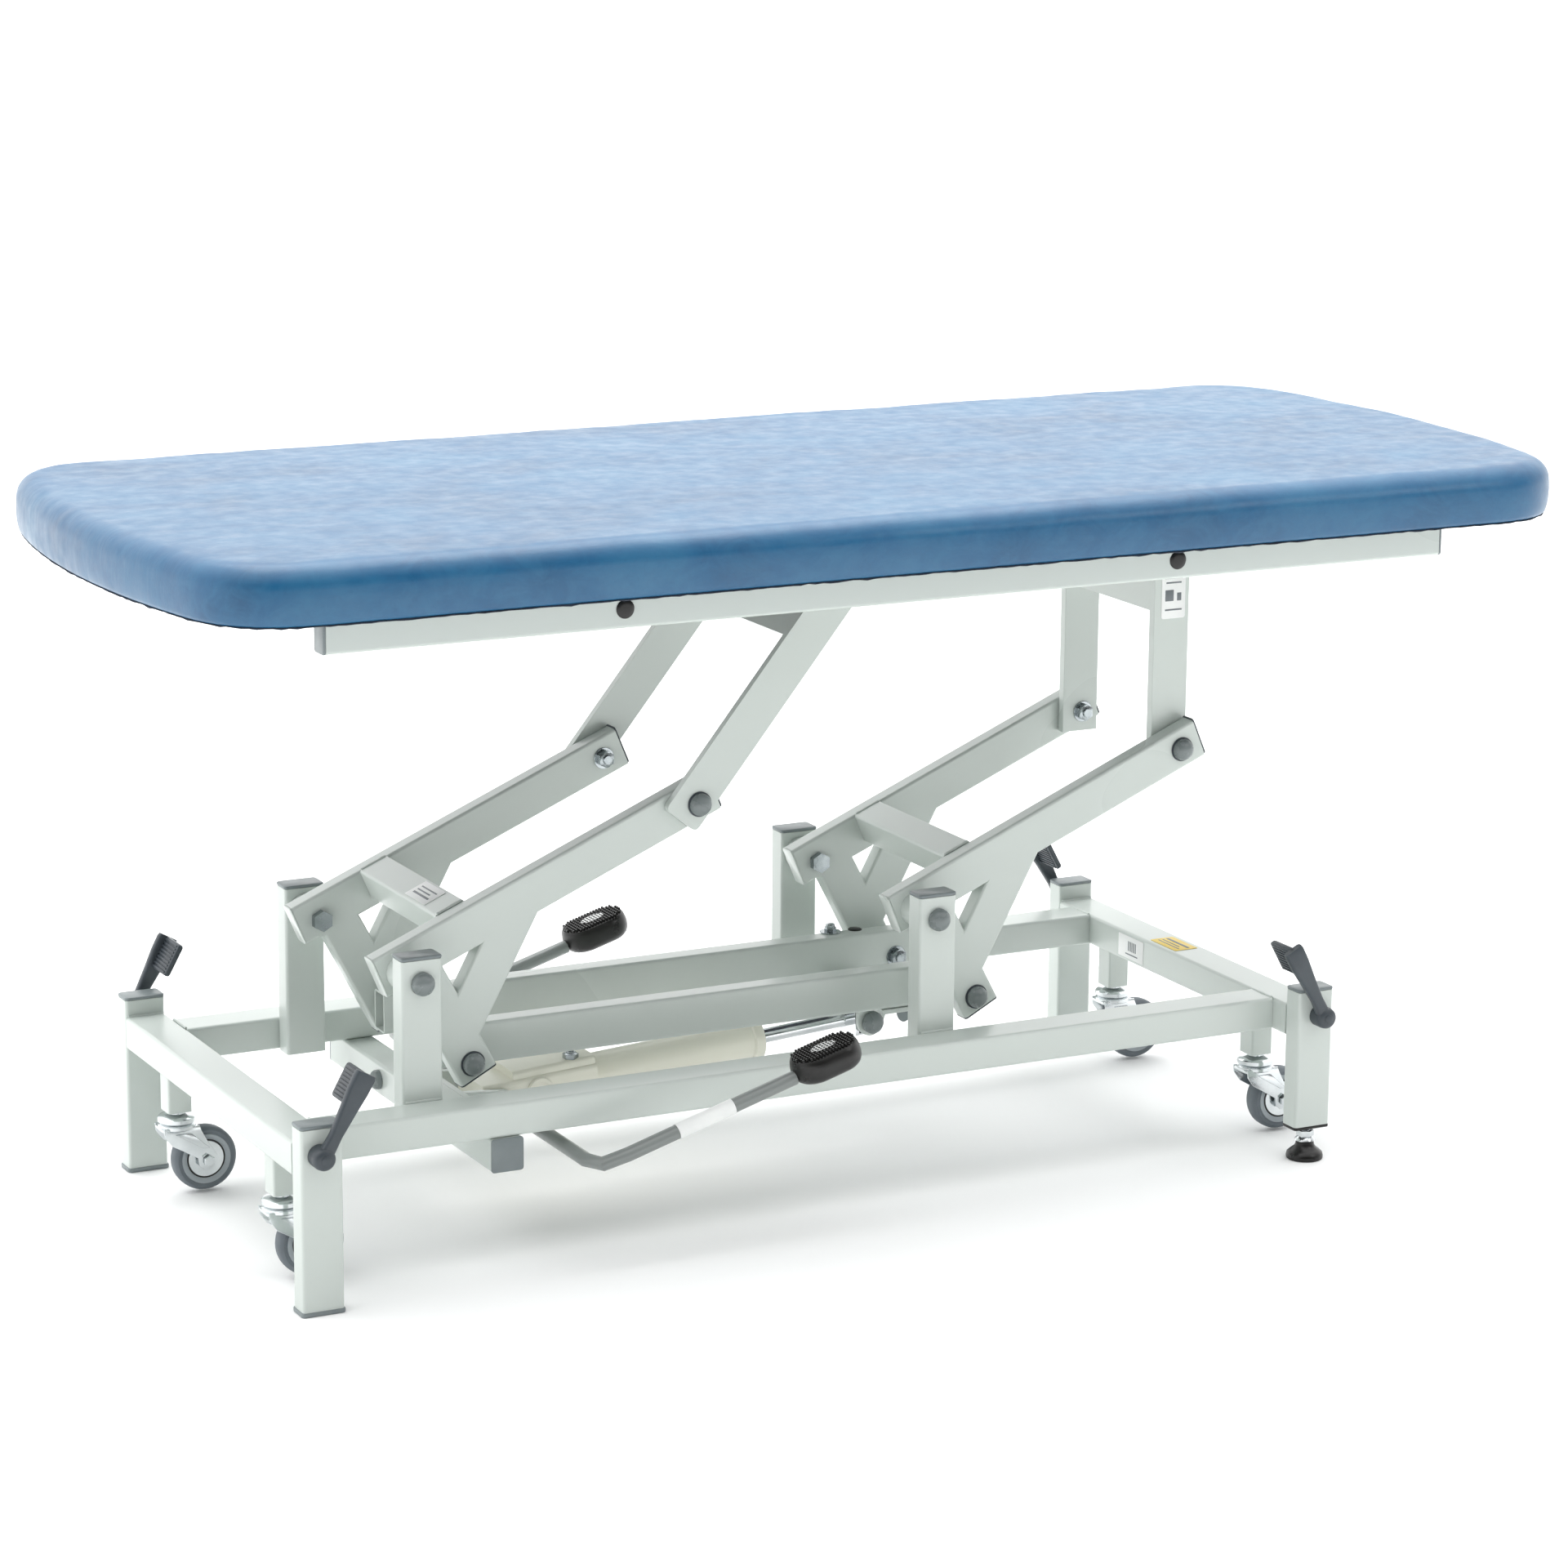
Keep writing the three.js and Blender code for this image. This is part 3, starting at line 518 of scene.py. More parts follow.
def add_rail_caps():
    tube = spot("pump_cross_tube")[2]
    for side, s in SIDES:
        at = Vector((tube.x, outer_y("pump_cross_tube", s), tube.z))
        piece(f"cross_tube_cap_{side}", block(40.4, 40.4, 3.2, 4, 1.2), "base", CAP_GREY,
              matrix=facing(at, Y * s))
        low, high, rail = spot(f"top_rail_{side}")
        wide, tall = (high.y - low.y) / MM + 0.4, (high.z - low.z) / MM + 0.4
        for end, e in ENDS:
            at = Vector((high.x if e > 0 else low.x, rail.y, rail.z))
            piece(f"rail_cap_{side}_{end}", block(wide, tall, 3.5, 4, 1.2), "top", CAP_GREY,
                  matrix=facing(at, X * e))
        for place, share in RAIL_PLUGS:
            at = Vector((low.x + share * (high.x - low.x), high.y if s > 0 else low.y, rail.z))
            piece(f"rail_plug_{side}_{place}", lathe(RAIL_PLUG, 32), "top", BLACK, matrix=facing(at, Y * s))


def add_cap_and_ring(name, at, out, body):
    piece(f"{name}_ring", washer(15.2, 1.6, 6), body, SLATE, matrix=facing(at, out))
    piece(f"{name}_cap", dome(13.4, 12.0, 3.0), body, DOME_GREY, matrix=facing(at + out * 1.2 * MM, out))


def add_nut(name, at, out, body, across=19, high=9):
    piece(f"{name}_washer", washer(13.5, 1.6, 5), body, BOLT, matrix=facing(at, out))
    nut = together(hexagon(across, high), (lathe(NUT_END, 24), moved(0, 0, high * MM)))
    piece(f"{name}_nut", nut, body, BOLT, matrix=facing(at + out * 1.5 * MM, out))


def add_pivot_covers():
    arm_inner = spot("arm_cross_tube_left")[1].y + 0.3 * MM
    arm_outer = arm_inner + TUBE_DEEP
    strut_outer = spot("left_strut_frame")[1].y
    strut_inner = arm_inner - (TUBE_DEEP - 10.5 * MM)
    beam_inner = spot("tie_beam_rear")[0].y
    for name, s, e in CORNERS:
        out = Y * s
        shift = STEP if e > 0 else Vector((0, 0, 0))
        arms = "right_arms" if e > 0 else "left_arms"
        bolt = spot(f"pivot_bolt_{name}")[2]
        at = Vector((bolt.x, outer_y(f"post_{name}", s), bolt.z))
        piece(f"pivot_cover_{name}", dome(13.8, 14.0, 4.0), "base", DOME_GREY, matrix=facing(at, out))

        def across(pivot, y):
            return Vector((pivot.x, s * y, pivot.z))

        crank, upper = CRANK + shift, UPPER + shift
        add_cap_and_ring(f"crank_{name}", across(crank, arm_outer), out, arms)
        add_nut(f"crank_{name}", across(crank, beam_inner), -out, "beams")
        # The left strut laps the arm's outer face and the right one its inner face.
        if e < 0:
            add_cap_and_ring(f"strut_{name}", across(upper, strut_outer), out, "top")
            add_nut(f"strut_{name}", across(upper, arm_inner), -out, arms)
        else:
            add_cap_and_ring(f"strut_{name}", across(upper, arm_outer), out, arms)
            add_nut(f"strut_{name}", across(upper, strut_inner), -out, "top")
        add_arm_end_caps(name, arms, shift, s * (arm_inner + TUBE_DEEP / 2))


def add_arm_end_caps(name, arms, shift, y):
    """Plastic inserts in the open ends of an arm's tube."""
    run, rise = leaning(ARM_LEAN)
    foot_dir = leaning(CRANK_LEAN)[0]
    ends = (
        ("tail", pivot_of("lift"), -run * 27 * MM + rise * 5.6 * MM, -run, PAINT),
        ("nose", UPPER, run * 27 * MM + rise * 2.8 * MM, run, SLATE),
        ("foot", CRANK, foot_dir * 17 * MM, foot_dir, SLATE),
    )
    for place, pivot, beyond, out, material in ends:
        at = Vector((pivot.x + shift.x, y, pivot.z + shift.z)) + beyond
        piece(f"arm_{place}_cap_{name}", block(25.2, 50.2, 2.2, 4, 0.9), arms, material,
              matrix=standing(at, out, Y))


# ---------------------------------------------------------------- pump and ram details
TAB_HALF, TAB_DEEP, TAB_STEPS = 10.5, 17, 14  # the half-round tabs near the ram's pin
TAB_X, TAB_Y, TAB_Z = 45, 30, 12  # beyond the pin, off the couch's middle and above the pin
BEAM_PLUG = [(0, 0), (9, 0), (9, 0.6), (7.5, 1.6), (0, 2)]
BOSS = [(0, 0), (17, 0), (17, 2), (15.5, 3.4), (12, 3.4), (11.4, 2.2), (0, 2.2)]
BOSS_X, BOSS_Z = 53, 8  # from the foot lever's shaft
VALVE_X, VALVE_Y, VALVE_Z = 99, 26, 39  # the same, but y from the cylinder's middle to the front


def add_ram_details():
    mid = spot("ram_pin")[2]
    angles = [math.pi - math.pi * k / TAB_STEPS for k in range(1, TAB_STEPS)]
    arc = [(TAB_HALF * math.cos(a), -TAB_DEEP * math.sin(a)) for a in angles]
    tab = [(-TAB_HALF, 0), *arc, (TAB_HALF, 0)]
    for side, s in SIDES:
        at = Vector((mid.x, outer_y("ram_pin", s) - s * MM, mid.z))
        piece(f"ram_pin_cap_{side}", dome(14, 11, 4), "beams", DOME_GREY, matrix=facing(at, Y * s))
        at = Vector((mid.x + TAB_X * MM, s * TAB_Y * MM, mid.z + TAB_Z * MM))
        piece(f"ram_tab_{side}", plate(tab, 3.0, 0.5), "beams", CAP_GREY, matrix=basis(at, X, Z))


def add_bracket_bolts():
    low, _, mid = spot("pump_cross_tube")
    for side, s in SIDES:
        at = Vector((low.x, s * 90 * MM, mid.z))
        piece(f"bracket_bolt_{side}_outer", dome(12, 12, 3), "base", DOME_GREY, matrix=facing(at, -X))


def add_beam_details():
    low, high, mid = spot("tie_beam_rear")
    at = Vector((low.x + 0.9 * (high.x - low.x), mid.y, high.z))
    piece("beam_plug_rear", lathe(BEAM_PLUG, 28), "beams", BLACK, matrix=Matrix.Translation(at))
    add_nut("beam_top", at - X * 34 * MM + Y * 2 * MM, Z, "beams", 13, 6)


def add_pump_details():
    low, _, mid = spot("pump_cylinder")
    shaft = pivot_of("foot_pump")
    at = Vector((shaft.x + BOSS_X * MM, low.y, shaft.z + BOSS_Z * MM))
    piece("pump_boss", lathe(BOSS, 40), "pump", CREAM, matrix=facing(at, -Y))
    cap = together(hexagon(17, 7), (dome(5.5, 4, 1), moved(0, 0, 7 * MM)))
    at = Vector((shaft.x + VALVE_X * MM, mid.y - VALVE_Y * MM, shaft.z + VALVE_Z * MM))
    piece("pump_valve", cap, "pump", BOLT, matrix=Matrix.Translation(at))


# ---------------------------------------------------------------- castors
TYRE_PROFILE = [(31, -11), (35.5, -11.6), (38.2, -9.6), (39.7, -6), (40, -2), (40, 2), (39.7, 6),
                (38.2, 9.6), (35.5, 11.6), (31, 11), (31, -11)]
DISC_PROFILE = [(5.6, -9), (24, -9.6), (25.5, -10.6), (27, -11.6), (30.6, -11.8), (31, -10.8),
                (31, 10.8), (30.6, 11.8), (27, 11.6), (25.5, 10.6), (24, 9.6), (5.6, 9), (5.6, -9)]
SWIVEL_PROFILE = [(0, 84), (21, 84), (23, 85.5), (23, 89), (21.5, 90.2), (19, 91), (21.5, 92), (23.2, 93.5),
                  (23.2, 98), (21, 100), (13, 101.5), (9.5, 102.5), (9.5, 105.6), (0, 105.6)]
AXLE_PROFILE = [(0, -20), (4, -20), (4, 20), (0, 20)]
FORK_HALF, CHEEK, RIB = 15.2, 2.6, 1.4  # half the gap in a fork, and its two plates' thickness
PLATE_OUT, GROOVE_OUT, HEAD_OUT = 9.1, 9.2, 19.0  # from a wheel's middle plane


def fork_mesh(trail, height):
    """Pressed fork: the swivel's axis along z through the origin, the axle at trail and height, in mm."""
    cheek = [(-22, 88), (-21, 78), (-12, 66), (trail - 13, height + 4), (trail - 11.5, height - 6),
             (trail - 5, height - 11.5), (trail + 5, height - 11.5), (trail + 11, height - 5),
             (trail + 12, height + 5), (31, 70), (25, 82), (23, 88)]
    rib = [(-8, 80), (trail - 6, height + 16), (trail + 2, height + 16), (12, 80)]
    plates = ((cheek, FORK_HALF, CHEEK, 0.7), (rib, FORK_HALF + CHEEK, RIB, 0.5))
    parts = []
    for s in (-1, 1):
        # A plate grows towards -Y, so the one on the rear side starts at its outer face.
        for outline, inner, thick, edge in plates:
            at = Vector((0, (s * inner + (thick if s > 0 else 0)) * MM, 0))
            parts.append((plate(outline, thick, edge), basis(at, X, Z)))
    bridge = block(46, 2 * FORK_HALF + 4, 4, 6, 1.2)
    return together(*parts, lathe(SWIVEL_PROFILE, 40), (bridge, moved(0, 0, 83 * MM)))


def add_castors():
    for name, s, e in CORNERS:
        mid = spot(f"castor_wheel_{name}")[2]
        tube = spot(f"castor_tube_{name}")[2]
        wheel = f"wheel_{name}"
        hub = basis(mid, X, -Z)
        piece(f"tyre_{name}", lathe(TYRE_PROFILE, 56), wheel, TYRE, matrix=hub,
              stands_for=[f"castor_wheel_{name}"])
        piece(f"wheel_disc_{name}", lathe(DISC_PROFILE, 56), wheel, RIM, matrix=hub)
        for face, out in (("outer", -Y), ("inner", Y)):
            piece(f"wheel_plate_{name}_{face}", washer(22.3, 1.5, 5.9), wheel, ZINC,
                  matrix=facing(mid + out * PLATE_OUT * MM, out))
            piece(f"wheel_groove_{name}_{face}", washer(24.4, 0.9, 22.2), wheel, BLACK,
                  matrix=facing(mid + out * GROOVE_OUT * MM, out))
        piece(f"fork_{name}", fork_mesh((mid.x - tube.x) / MM, mid.z / MM), f"castor_{name}", ZINC,
              matrix=moved(tube.x, tube.y, 0), stands_for=[f"castor_fork_{name}"])
        heads = [(hexagon(13, 5), facing(mid + out * HEAD_OUT * MM, out)) for out in (-Y, Y)]
        axle = together(*heads, (lathe(AXLE_PROFILE, 20), hub))
        piece(f"axle_{name}", axle, f"castor_{name}", ZINC)
        add_castor_lever(name, s, e)


# A castor lever: its hub, and its arm as (distance from the hub, width, thickness, stand-off from the leg)
LEVER_LEAN = 29  # degrees from upright, outwards
KNOB = [(0, 0), (13.5, 0), (13.5, 14), (12.6, 19), (10.5, 21.5), (6, 22.6), (0, 22.8)]
KNOB_R, KNOB_TOP = 13.5, 22.4
KNOB_BORE = [(0, 0), (5.6, 0), (5.6, 0.8), (4.8, 1.2), (0, 1.3)]
LEVER_PAD = (54, 42, 7, 5, 1.8)  # the blocks of its tread and of each rib on that
LEVER_RIB, RIB_STEP = (46, 2.4, 9.6, 1.1, 0.7, 3), 4.4
LEVER_ARM = ((6, 17, 12, 14), (30, 15, 11, 15), (60, 20, 11, 15), (84, 25, 11, 15), (102, 26, 11, 15),
             (106, 24, 9, 15))


def add_castor_lever(name, s, e):
    node = f"castor_lever_{name}"
    leg_low, leg_high, leg = spot(f"leg_{name}")
    hub = Vector((leg.x + e * 4 * MM, 0, spot(node)[0].z + KNOB_R * MM))
    face = leg_high.y + 0.5 * MM if s > 0 else leg_low.y - 0.5 * MM
    lean = math.radians(LEVER_LEAN)
    up = Vector((-e * math.sin(lean), 0, math.cos(lean)))
    across = Vector((math.cos(lean), 0, e * math.sin(lean)))
    out = Y * s

    def at_y(point, y):
        return Vector((point.x, y, point.z))

    rings = []
    for t, wide, thick, lift in LEVER_ARM:
        centre = at_y(hub + up * t * MM, face + s * lift * MM)
        outline = rounded_outline(wide, thick, min(thick, wide) * 0.34, 4)
        rings.append([centre + across * px * MM + out * py * MM for px, py in outline])
    pad = [(block(*LEVER_PAD), moved(0, 0, -3.5 * MM))]
    for k in range(-4, 5):
        pad.append((block(*LEVER_RIB), moved(0, k * RIB_STEP * MM, -4.8 * MM)))
    pad_at = at_y(hub + up * 85 * MM, face - s * 7 * MM)
    tube_y = spot(f"castor_tube_{name}")[2].y
    shaft_to = at_y(hub, tube_y - s * 8 * MM)
    cam_at = Vector((hub.x - e * 8 * MM, tube_y, hub.z - 4 * MM))
    whole = together(
        (lathe(KNOB, 36), facing(at_y(hub, face), out)),
        (lathe(KNOB_BORE, 24), facing(at_y(hub, face) + out * KNOB_TOP * MM, out)),
        loft(rings),
        (together(*pad), basis(pad_at, Y, up)),
        sweep([at_y(hub, face + s * 1 * MM), shaft_to], 6, 20),
        (block(18, 14, 8, 3, 1), Matrix.Translation(cam_at)),
    )
    piece(f"lever_{name}_shape", whole, f"lever_{name}", SLATE, stands_for=[node])


# ---------------------------------------------------------------- foot lever, pedals and levelling foot
PEDAL_LONG, PEDAL_WIDE, PEDAL_THICK = 88, 60, 31
# (inset from the plan's outline in mm, share of the thickness) from the underside to the upper face
PEDAL_RINGS = ((13, 0), (7, 0.05), (3, 0.16), (0.8, 0.32), (0, 0.5), (0.3, 0.66), (1.2, 0.82), (2.4, 0.93),
               (4, 1.0))
STUD, STUD_LEVEL = (2.8, 3.4, 4.2, 0.5, 0.9, 2), 14.6
STUD_STEP, STUD_ROW = 4.2, 5  # spacing of the studs along and across a pedal
STUD_REACH, STUD_STRAIGHT = 24.5, 14.5  # their field: a bar with round ends
BADGE_LONG, BADGE_WIDE = 16, 9.5


def pedal_mesh():
    """A rubber pedal along x, z up: rounded plan, bulging sides, rows of small studs on its upper face."""
    rings = []
    for inset, level in PEDAL_RINGS:
        radius = PEDAL_WIDE / 2 - inset - 0.5
        outline = rounded_outline(PEDAL_LONG - 2 * inset, PEDAL_WIDE - 2 * inset, radius, 9)
        rings.append([Vector((px, py, PEDAL_THICK * (level - 0.5))) * MM for px, py in outline])
    studs = []
    for k in range(-9, 10):
        x = k * STUD_STEP
        reach = math.sqrt(max(STUD_REACH**2 - max(abs(x) - STUD_STRAIGHT, 0) ** 2, 1))
        rows = int(reach / STUD_ROW)
        for row in range(-rows, rows + 1):
            studs.append((block(*STUD), moved(x * MM, row * STUD_ROW * MM, STUD_LEVEL * MM)))
    return together(loft(rings), *studs)


def add_foot_lever():
    run = leaning(PEDAL_LEAN)[0]
    angles = [2 * math.pi * k / 40 for k in range(40)]
    oval = [(BADGE_LONG * math.cos(a), BADGE_WIDE * math.sin(a)) for a in angles]
    for side, _ in SIDES:
        place = basis(spot(f"pedal_{side}")[2], run, Y)
        piece(f"pedal_rubber_{side}", pedal_mesh(), "foot_lever", BLACK, matrix=place,
              stands_for=[f"pedal_{side}"])
        piece(f"pedal_badge_{side}", plate(oval, 0.9, 0.3), "foot_lever", PAPER,
              matrix=place @ moved(1 * MM, 0, 17.2 * MM))
    shaft = pivot_of("foot_pump")
    bar = Vector((shaft.x, spot("pedal_front")[2].y, shaft.z))
    start, stop = (bar + run * d * MM for d in (104, 178))
    piece("lever_sleeve", sweep(along([start, stop], 6), 9.4, 28), "foot_lever", PAPER)


FOOT_RUBBER = [(0, 0), (21.5, 0), (22.8, 1.2), (23, 4), (22, 8), (17.5, 12), (13, 15.5), (11.5, 19),
               (11.2, 22), (9, 23.5), (0, 23.5)]
FOOT_COLLAR = [(0, 0), (13, 0), (12, 2.5), (8, 6), (0, 6)]
THREAD_R, CREST_R, PITCH, TURNS = 5.2, 6.1, 1.55, 30


def add_levelling_foot():
    low, _, mid = spot("levelling_foot")
    at = moved(mid.x, mid.y, low.z)
    piece("foot_rubber", lathe(FOOT_RUBBER, 48), "levelling_foot", BLACK, matrix=at,
          stands_for=["levelling_foot"])
    thread = [(0, 22)]
    for k in range(TURNS):
        level = 23 + k * PITCH
        thread += [(THREAD_R, level), (CREST_R, level + 0.75)]
    thread += [(THREAD_R, 69.6), (0, 69.6)]
    piece("foot_stem", lathe(thread, 28), "levelling_foot", ZINC, matrix=at)
    nut = together(hexagon(19, 8), (lathe(FOOT_COLLAR, 28), moved(0, 0, -5.5 * MM)))
    piece("foot_nut", nut, "levelling_foot", ZINC, matrix=moved(mid.x, mid.y, low.z + 29 * MM))


# ---------------------------------------------------------------- labels
# Plain bars stand for the print, each as (x, y, width, height)
TUBE_BARS = [(-6, 0, 3, 44), (0, 4, 2, 36), (6, 0, 2, 44)]
STRUT_BARS = [(0, 24, 24, 3), (0, 16, 26, 2), (0, 10, 22, 2), (-6, -6, 12, 14), (8, -8, 6, 10),
              (0, -24, 24, 2)]
RAIL_BARS = [(-8, 0, 2, 50), (-2, 4, 2, 40), (6, 0, 4, 52)]
CODE_BARS = [(px, 2, 1.4, 13) for px in range(-6, 13, 3)] + [(2, -9, 30, 1.6)]


def label(name, wide, high, body, material, matrix, radius, bars):
    piece(name, block(wide, high, 0.6, radius, 0.2, 3), body, material, matrix=matrix)
    made = [(block(w, h, 0.35, 0.4, 0.1, 2), moved(px * MM, py * MM, 0.5 * MM)) for px, py, w, h in bars]
    piece(f"{name}_print", together(*made), body, PRINT, matrix=matrix)


def add_labels():
    run, rise = leaning(ARM_LEAN)
    mid = spot("arm_cross_tube_left")[2]
    place = basis(mid - Y * 45 * MM + rise * 20.2 * MM, run, Y)
    label("cross_tube_label", 30, 60, "left_arms", PAPER, place, 1.0, TUBE_BARS)
    low, high, mid = spot("right_strut_frame")
    place = basis(Vector((mid.x + 2 * MM, low.y, high.z - 62 * MM)), X, Z)
    label("strut_label", 34, 70, "top", PAPER, place, 3.0, STRUT_BARS)
    low, high, mid = spot("end_rail_right")
    place = basis(Vector((mid.x - 2 * MM, mid.y + 24 * MM, high.z)), X, Y)
    label("rail_label", 34, 62, "base", YELLOW, place, 2.0, RAIL_BARS)
    place = basis(Vector((low.x, mid.y + 92 * MM, mid.z)), -Y, Z)
    label("rail_barcode", 62, 30, "base", PAPER, place, 1.5, CODE_BARS)


# ---------------------------------------------------------------- padded top
NEAR = 1e-4  # metres within which two levels are the same
RING_COUNT, RING_SMOOTHING = 520, 6
ROUND_UP = 28  # radius of the cushion's upper edge, in mm
CROWN, CROWN_STEPS = 4.0, 26
# (inset from the outline, height above the lower edge) in mm, up the cushion's side
SIDE_ROWS = [(18, 0.4), (10, 0.1), (6, 0.6), (3.4, 2.6), (2.2, 6), (1.2, 11), (0.4, 17), (0, 24), (-0.2, 30),
             (0, 35)]
# the same for the ragged hem under it
HEM_ROWS = ((7.0, 1.4), (5.2, 0.4), (4.8, -0.6), (7.0, -1.7), (17, -1.2), (17, 0.9))
HEM_RAGGED = (-2, -0.5)  # heights between which the hem is ragged


def widest_outline(node):
    """The points of a CAD node's widest outline, in order round it, evenly spaced and smoothed."""
    o = frame["nodes"][node]
    corners = [o.matrix_world @ v.co for v in o.data.vertices]
    levels = sorted({round(p.z, 5) for p in corners})
    level = max(levels, key=lambda z: max(abs(p.y) for p in corners if abs(p.z - z) < NEAR))
    points = {(round(p.x, 5), round(p.y, 5)) for p in corners if abs(p.z - level) < NEAR}
    centre = sum((Vector((*p, 0)) for p in points), Vector()) / len(points)
    ordered = sorted(points, key=lambda p: math.atan2(p[1] - centre.y, p[0] - centre.x))
    ring = [Vector((*p, 0)) for p in ordered]
    lengths = [(b - a).length for a, b in zip(ring, ring[1:] + ring[:1])]
    total = sum(lengths)
    even, index, walked = [], 0, 0.0
    for k in range(RING_COUNT):
        goal = total * k / RING_COUNT
        while walked + lengths[index] < goal:
            walked += lengths[index]
            index += 1
        a, b = ring[index], ring[(index + 1) % len(ring)]
        even.append(a.lerp(b, (goal - walked) / lengths[index]))
    for _ in range(RING_SMOOTHING):
        even = [(even[i - 1] + even[i] * 2 + even[(i + 1) % RING_COUNT]) / 4 for i in range(RING_COUNT)]
    return even


def outward(ring):
    """The outward normals of a ring of points that runs anticlockwise."""
    made = []
    for i in range(len(ring)):
        t = (ring[(i + 1) % len(ring)] - ring[i - 1]).normalized()
        made.append(Vector((t.y, -t.x, 0)))
    return made


def side_point(p, n, inset, level, floor_z):
    """A point of the cushion's side, with slow waves and a crinkled lower edge."""
    q = p - n * inset * MM
    q.z = floor_z + level * MM
    wave = noise.noise(q * 9) * 1.4 + noise.noise(q * 31) * 0.6
    crinkle = noise.noise(Vector((q.x, q.y, 0)) * 150) * 1.6 + noise.noise(Vector((q.x, q.y, 3)) * 60) * 1.2
    edge = math.exp(-level / 5) * crinkle
    q += n * (wave * min(level / 12, 1) * 0.6 + edge * 0.6) * MM
    q.z += (wave * 0.5 * max(level - 20, 0) / 30) * MM + (edge * 0.6 * MM if 0 < level < 8 else 0)
    return q


def top_point(start, centre, t, top_z):
    """A point of the cushion's face, t of the way from its rim to the middle line: a low crown with folds."""
    q = start.lerp(centre, t)
    crown = CROWN * (1 - (1 - t) ** 2)
    broad, narrow = Vector((q.x * 5, q.y * 9, 1)), Vector((q.x * 19, q.y * 30, 2))
    fold = noise.noise(broad) * 0.9 + noise.noise(narrow) * 0.35
    q.z = top_z + (-0.5 + crown * 0.6 + fold * min(t * 6, 1)) * MM
    return q


def add_cushion(ring, normals):
    low, high, mid = spot("cushion")
    straight = (high.z - low.z) / MM - ROUND_UP
    side = SIDE_ROWS + [(0.3, straight)]
    steps = 9
    for k in range(1, steps + 1):
        a = math.pi / 2 * k / steps
        side.append((0.3 + ROUND_UP * (1 - math.cos(a)), straight + (ROUND_UP - 0.5) * math.sin(a)))
    bm = bmesh.new()
    rows = []
    for inset, level in side:
        rows.append([bm.verts.new(side_point(p, n, inset, level, low.z)) for p, n in zip(ring, normals)])
    rim = side[-1][0]
    reach = high.x - mid.x - (high.y - mid.y)
    for k in range(1, CROWN_STEPS + 1):
        t = (k / CROWN_STEPS) ** 1.25
        row = []
        for p, n in zip(ring, normals):
            start = p - n * rim * MM
            centre = Vector((max(min(start.x, mid.x + reach), mid.x - reach), mid.y, 0))
            row.append(bm.verts.new(top_point(start, centre, t, high.z)))
        rows.append(row)
    skin(bm, rows)
    bm.faces.new(list(reversed(rows[0])))
    bmesh.ops.remove_doubles(bm, verts=rows[-1], dist=0.4 * MM)
    bmesh.ops.recalc_face_normals(bm, faces=bm.faces)
    pad = piece("cushion_cover", bm, "top", VINYL, stands_for=["cushion"], sharp=80)


def add_hem(ring, normals):
    low = spot("cushion")[0]
    rings = []
    for inset, level in HEM_ROWS:
        ragged = HEM_RAGGED[0] < level < HEM_RAGGED[1]
        row = []
        for p, n in zip(ring, normals):
            q = p - n * inset * MM
            rag = noise.noise(q * 120) * 1.5 + noise.noise(q * 37) * 1.0
            q.z = low.z + (level + (rag if ragged and inset < 10 else 0)) * MM
            q += n * rag * 0.35 * MM
            row.append(q)
        rings.append(row)
    rings.append(rings[0])
    hem = loft(rings, capped=False)
    bmesh.ops.remove_doubles(hem, verts=hem.verts, dist=1e-6)
    piece("cushion_hem", hem, "top", HEM, sharp=60)


# ---------------------------------------------------------------- welds
def weld(name, start, stop, body, radius, seed):
    """A painted weld bead with slight ripples along a joint between tubes."""
    count = max(int((stop - start).length / (2.2 * MM)), 2)
    piece(name, sweep(along([start, stop], count), radius, 8, lump=0.35, seed=seed), body, PAINT)


def add_welds():
    gap = 3 * MM
    run, rise = leaning(ARM_LEAN)
    for name, s, e in CORNERS:
        side, end = name.split("_")
        low, high, _ = spot(f"side_rail_{side}")
        leg_low, leg_high, _ = spot(f"leg_{name}")
        rail_low, rail_high, _ = spot(f"end_rail_{end}")
        y = (leg_high.y if s < 0 else leg_low.y) - s * 0.5 * MM
        weld(f"weld_leg_{name}", Vector((rail_low.x + gap, y, rail_high.z)),
             Vector((rail_high.x - gap, y, rail_high.z)), "base", 1.8, s + 2 * e)
        inner = rail_high.x if e < 0 else rail_low.x
        weld(f"weld_rail_{name}", Vector((inner, low.y + 4 * MM, high.z)),
             Vector((inner, high.y - 4 * MM, high.z)), "base", 1.8, 3 + s + e)
        post_low, post_high, _ = spot(f"post_{name}")
        y = post_low.y if s < 0 else post_high.y
        weld(f"weld_post_{name}", Vector((post_low.x + gap, y, high.z)),
             Vector((post_high.x - gap, y, high.z)), "base", 2.0, 5 + s + e)
        cross = spot(f"arm_cross_tube_{end}")
        base = Vector((cross[2].x, s * cross[1].y, cross[2].z)) + rise * 20 * MM
        weld(f"weld_arm_{name}", base - run * 17 * MM, base + run * 17 * MM, f"{end}_arms", 1.8, 7 + s + e)


add_leg_and_post_caps()
add_rail_caps()
add_pivot_covers()
add_ram_details()
add_bracket_bolts()
add_beam_details()
add_pump_details()
add_castors()
add_foot_lever()
add_levelling_foot()
add_labels()
cushion_ring = widest_outline("cushion")
cushion_normals = outward(cushion_ring)
add_cushion(cushion_ring, cushion_normals)
add_hem(cushion_ring, cushion_normals)
add_welds()


# ---------------------------------------------------------------- stage, light and camera
# Radiance of the studio: low behind the camera, high beyond the couch, less from the left, more from above
FRONT_LEVEL, BACK_LEVEL, LEFT_EXTRA, TOP_EXTRA = 0.08, 1.5, -0.06, 1.55
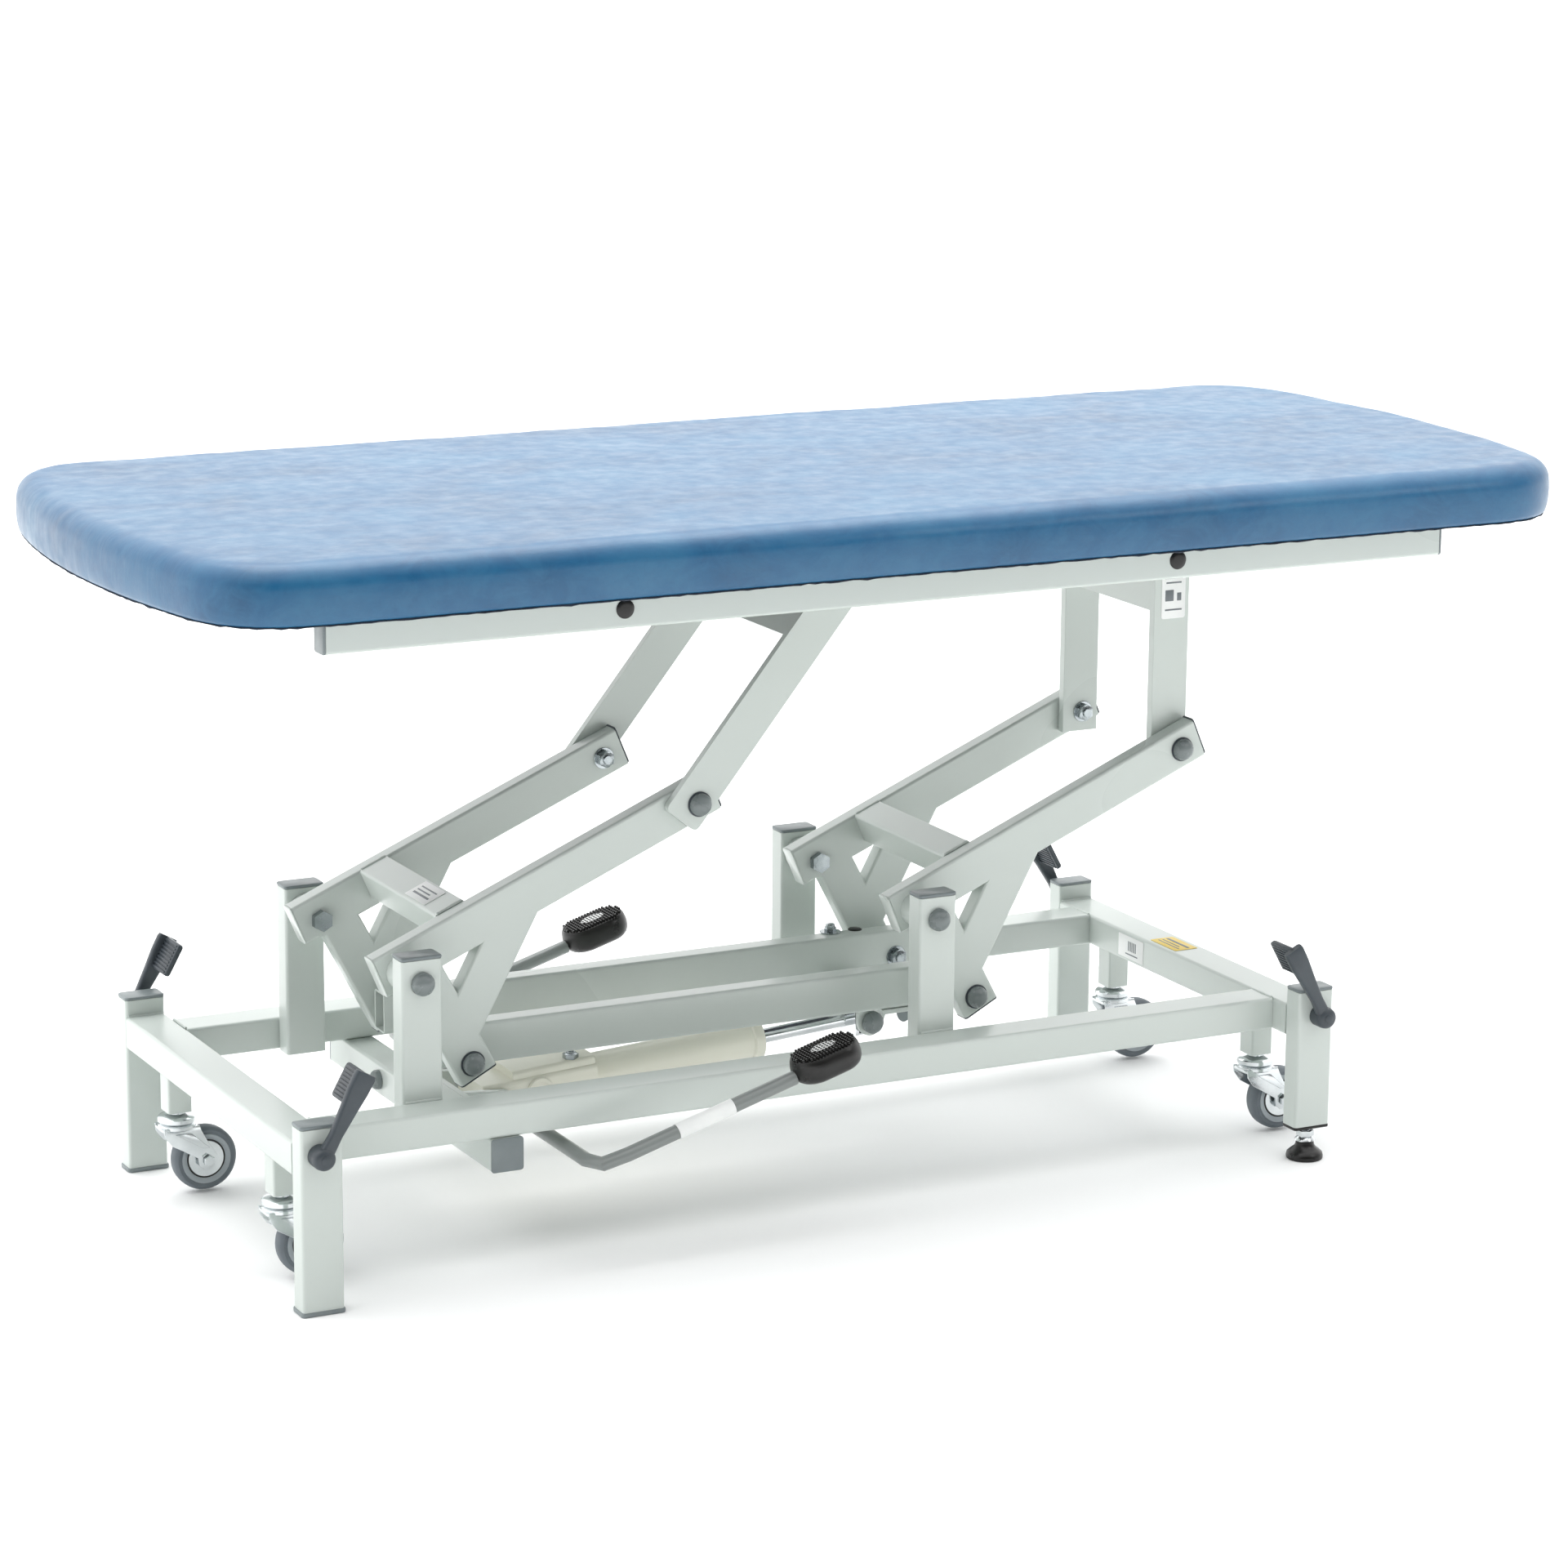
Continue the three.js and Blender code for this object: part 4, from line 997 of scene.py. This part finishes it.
# Area lights as (name, place, aim, width, height, watts)
SOFT_BOXES = (
    ("left_box", (-3.6, -0.6, 1.3), (-0.3, 0, 0.4), 2.4, 2.0, 3),
    ("right_box", (2.0, -2.6, 2.0), (0.7, -0.2, 0.35), 1.2, 1.0, 11),
    ("top_box", (0.2, 0.6, 3.6), (0.1, 0, 0.5), 3.4, 2.6, 60),
)
FLOOR_SIZE = 60.0
FLOOR_DARK, FLOOR_LIGHT = (0.95, 0.955, 0.955, 1.0), (0.965, 0.97, 0.97, 1.0)


def in_scene(name, data):
    made = bpy.data.objects.new(name, data)
    bpy.context.scene.collection.objects.link(made)
    return made


def soft_light(name, at, aim, wide, high, watts):
    lamp = bpy.data.lights.new(name, "AREA")
    lamp.shape = "RECTANGLE"
    lamp.size, lamp.size_y = wide, high
    lamp.energy = watts
    at, aim = Vector(at), Vector(aim)
    turn = (aim - at).to_track_quat("-Z", "Y").to_matrix().to_4x4()
    in_scene(name, lamp).matrix_world = Matrix.Translation(at) @ turn


def build_floor():
    bm = bmesh.new()
    bmesh.ops.create_grid(bm, x_segments=8, y_segments=8, size=FLOOR_SIZE)
    mesh = bpy.data.meshes.new("floor")
    bm.to_mesh(mesh)
    bm.free()
    s = Shader("floor_paper", 0.8, specular=0.1)
    s.colour(s.ramp(s.noise(3.0, 3.0), [(0.3, FLOOR_DARK), (0.7, FLOOR_LIGHT)]))
    mesh.materials.append(s.material)
    floor = in_scene("floor", mesh)


def build_world():
    world = bpy.data.worlds.new("studio")
    bpy.context.scene.world = world
    world.use_nodes = True
    tree = world.node_tree
    background = tree.nodes["Background"]
    background.inputs["Color"].default_value = (1.0, 1.0, 1.0, 1.0)
    coords = tree.nodes.new("ShaderNodeTexCoord")
    split = tree.nodes.new("ShaderNodeSeparateXYZ")
    tree.links.new(coords.outputs["Generated"], split.inputs["Vector"])

    def ranged(axis, start, stop, low, high):
        made = tree.nodes.new("ShaderNodeMapRange")
        for socket, value in (("From Min", start), ("From Max", stop), ("To Min", low), ("To Max", high)):
            made.inputs[socket].default_value = value
        tree.links.new(split.outputs[axis], made.inputs["Value"])
        return made.outputs["Result"]

    def joined(one, two):
        made = tree.nodes.new("ShaderNodeMath")
        tree.links.new(one, made.inputs[0])
        tree.links.new(two, made.inputs[1])
        return made.outputs[0]

    front = ranged("Y", -0.75, 0.1, FRONT_LEVEL, BACK_LEVEL)
    left = ranged("X", -0.9, -0.2, LEFT_EXTRA, 0.0)
    above = ranged("Z", 0.45, 1.0, 0.0, TOP_EXTRA)
    tree.links.new(joined(joined(front, left), above), background.inputs["Strength"])


def build_camera():
    lens = bpy.data.cameras.new("camera")
    lens.sensor_width = 36.0
    lens.lens = 107.818
    lens.clip_end = 60.0
    made = in_scene("camera", lens)
    made.location = (-2.5582, -4.9722, 1.7843)
    made.rotation_euler = [math.radians(a) for a in (76.7926, -0.4683, -26.9871)]
    bpy.context.scene.camera = made


build_floor()
build_world()
for box in SOFT_BOXES:
    soft_light(*box)
build_camera()
bpy.context.scene.view_settings.view_transform = "Standard"
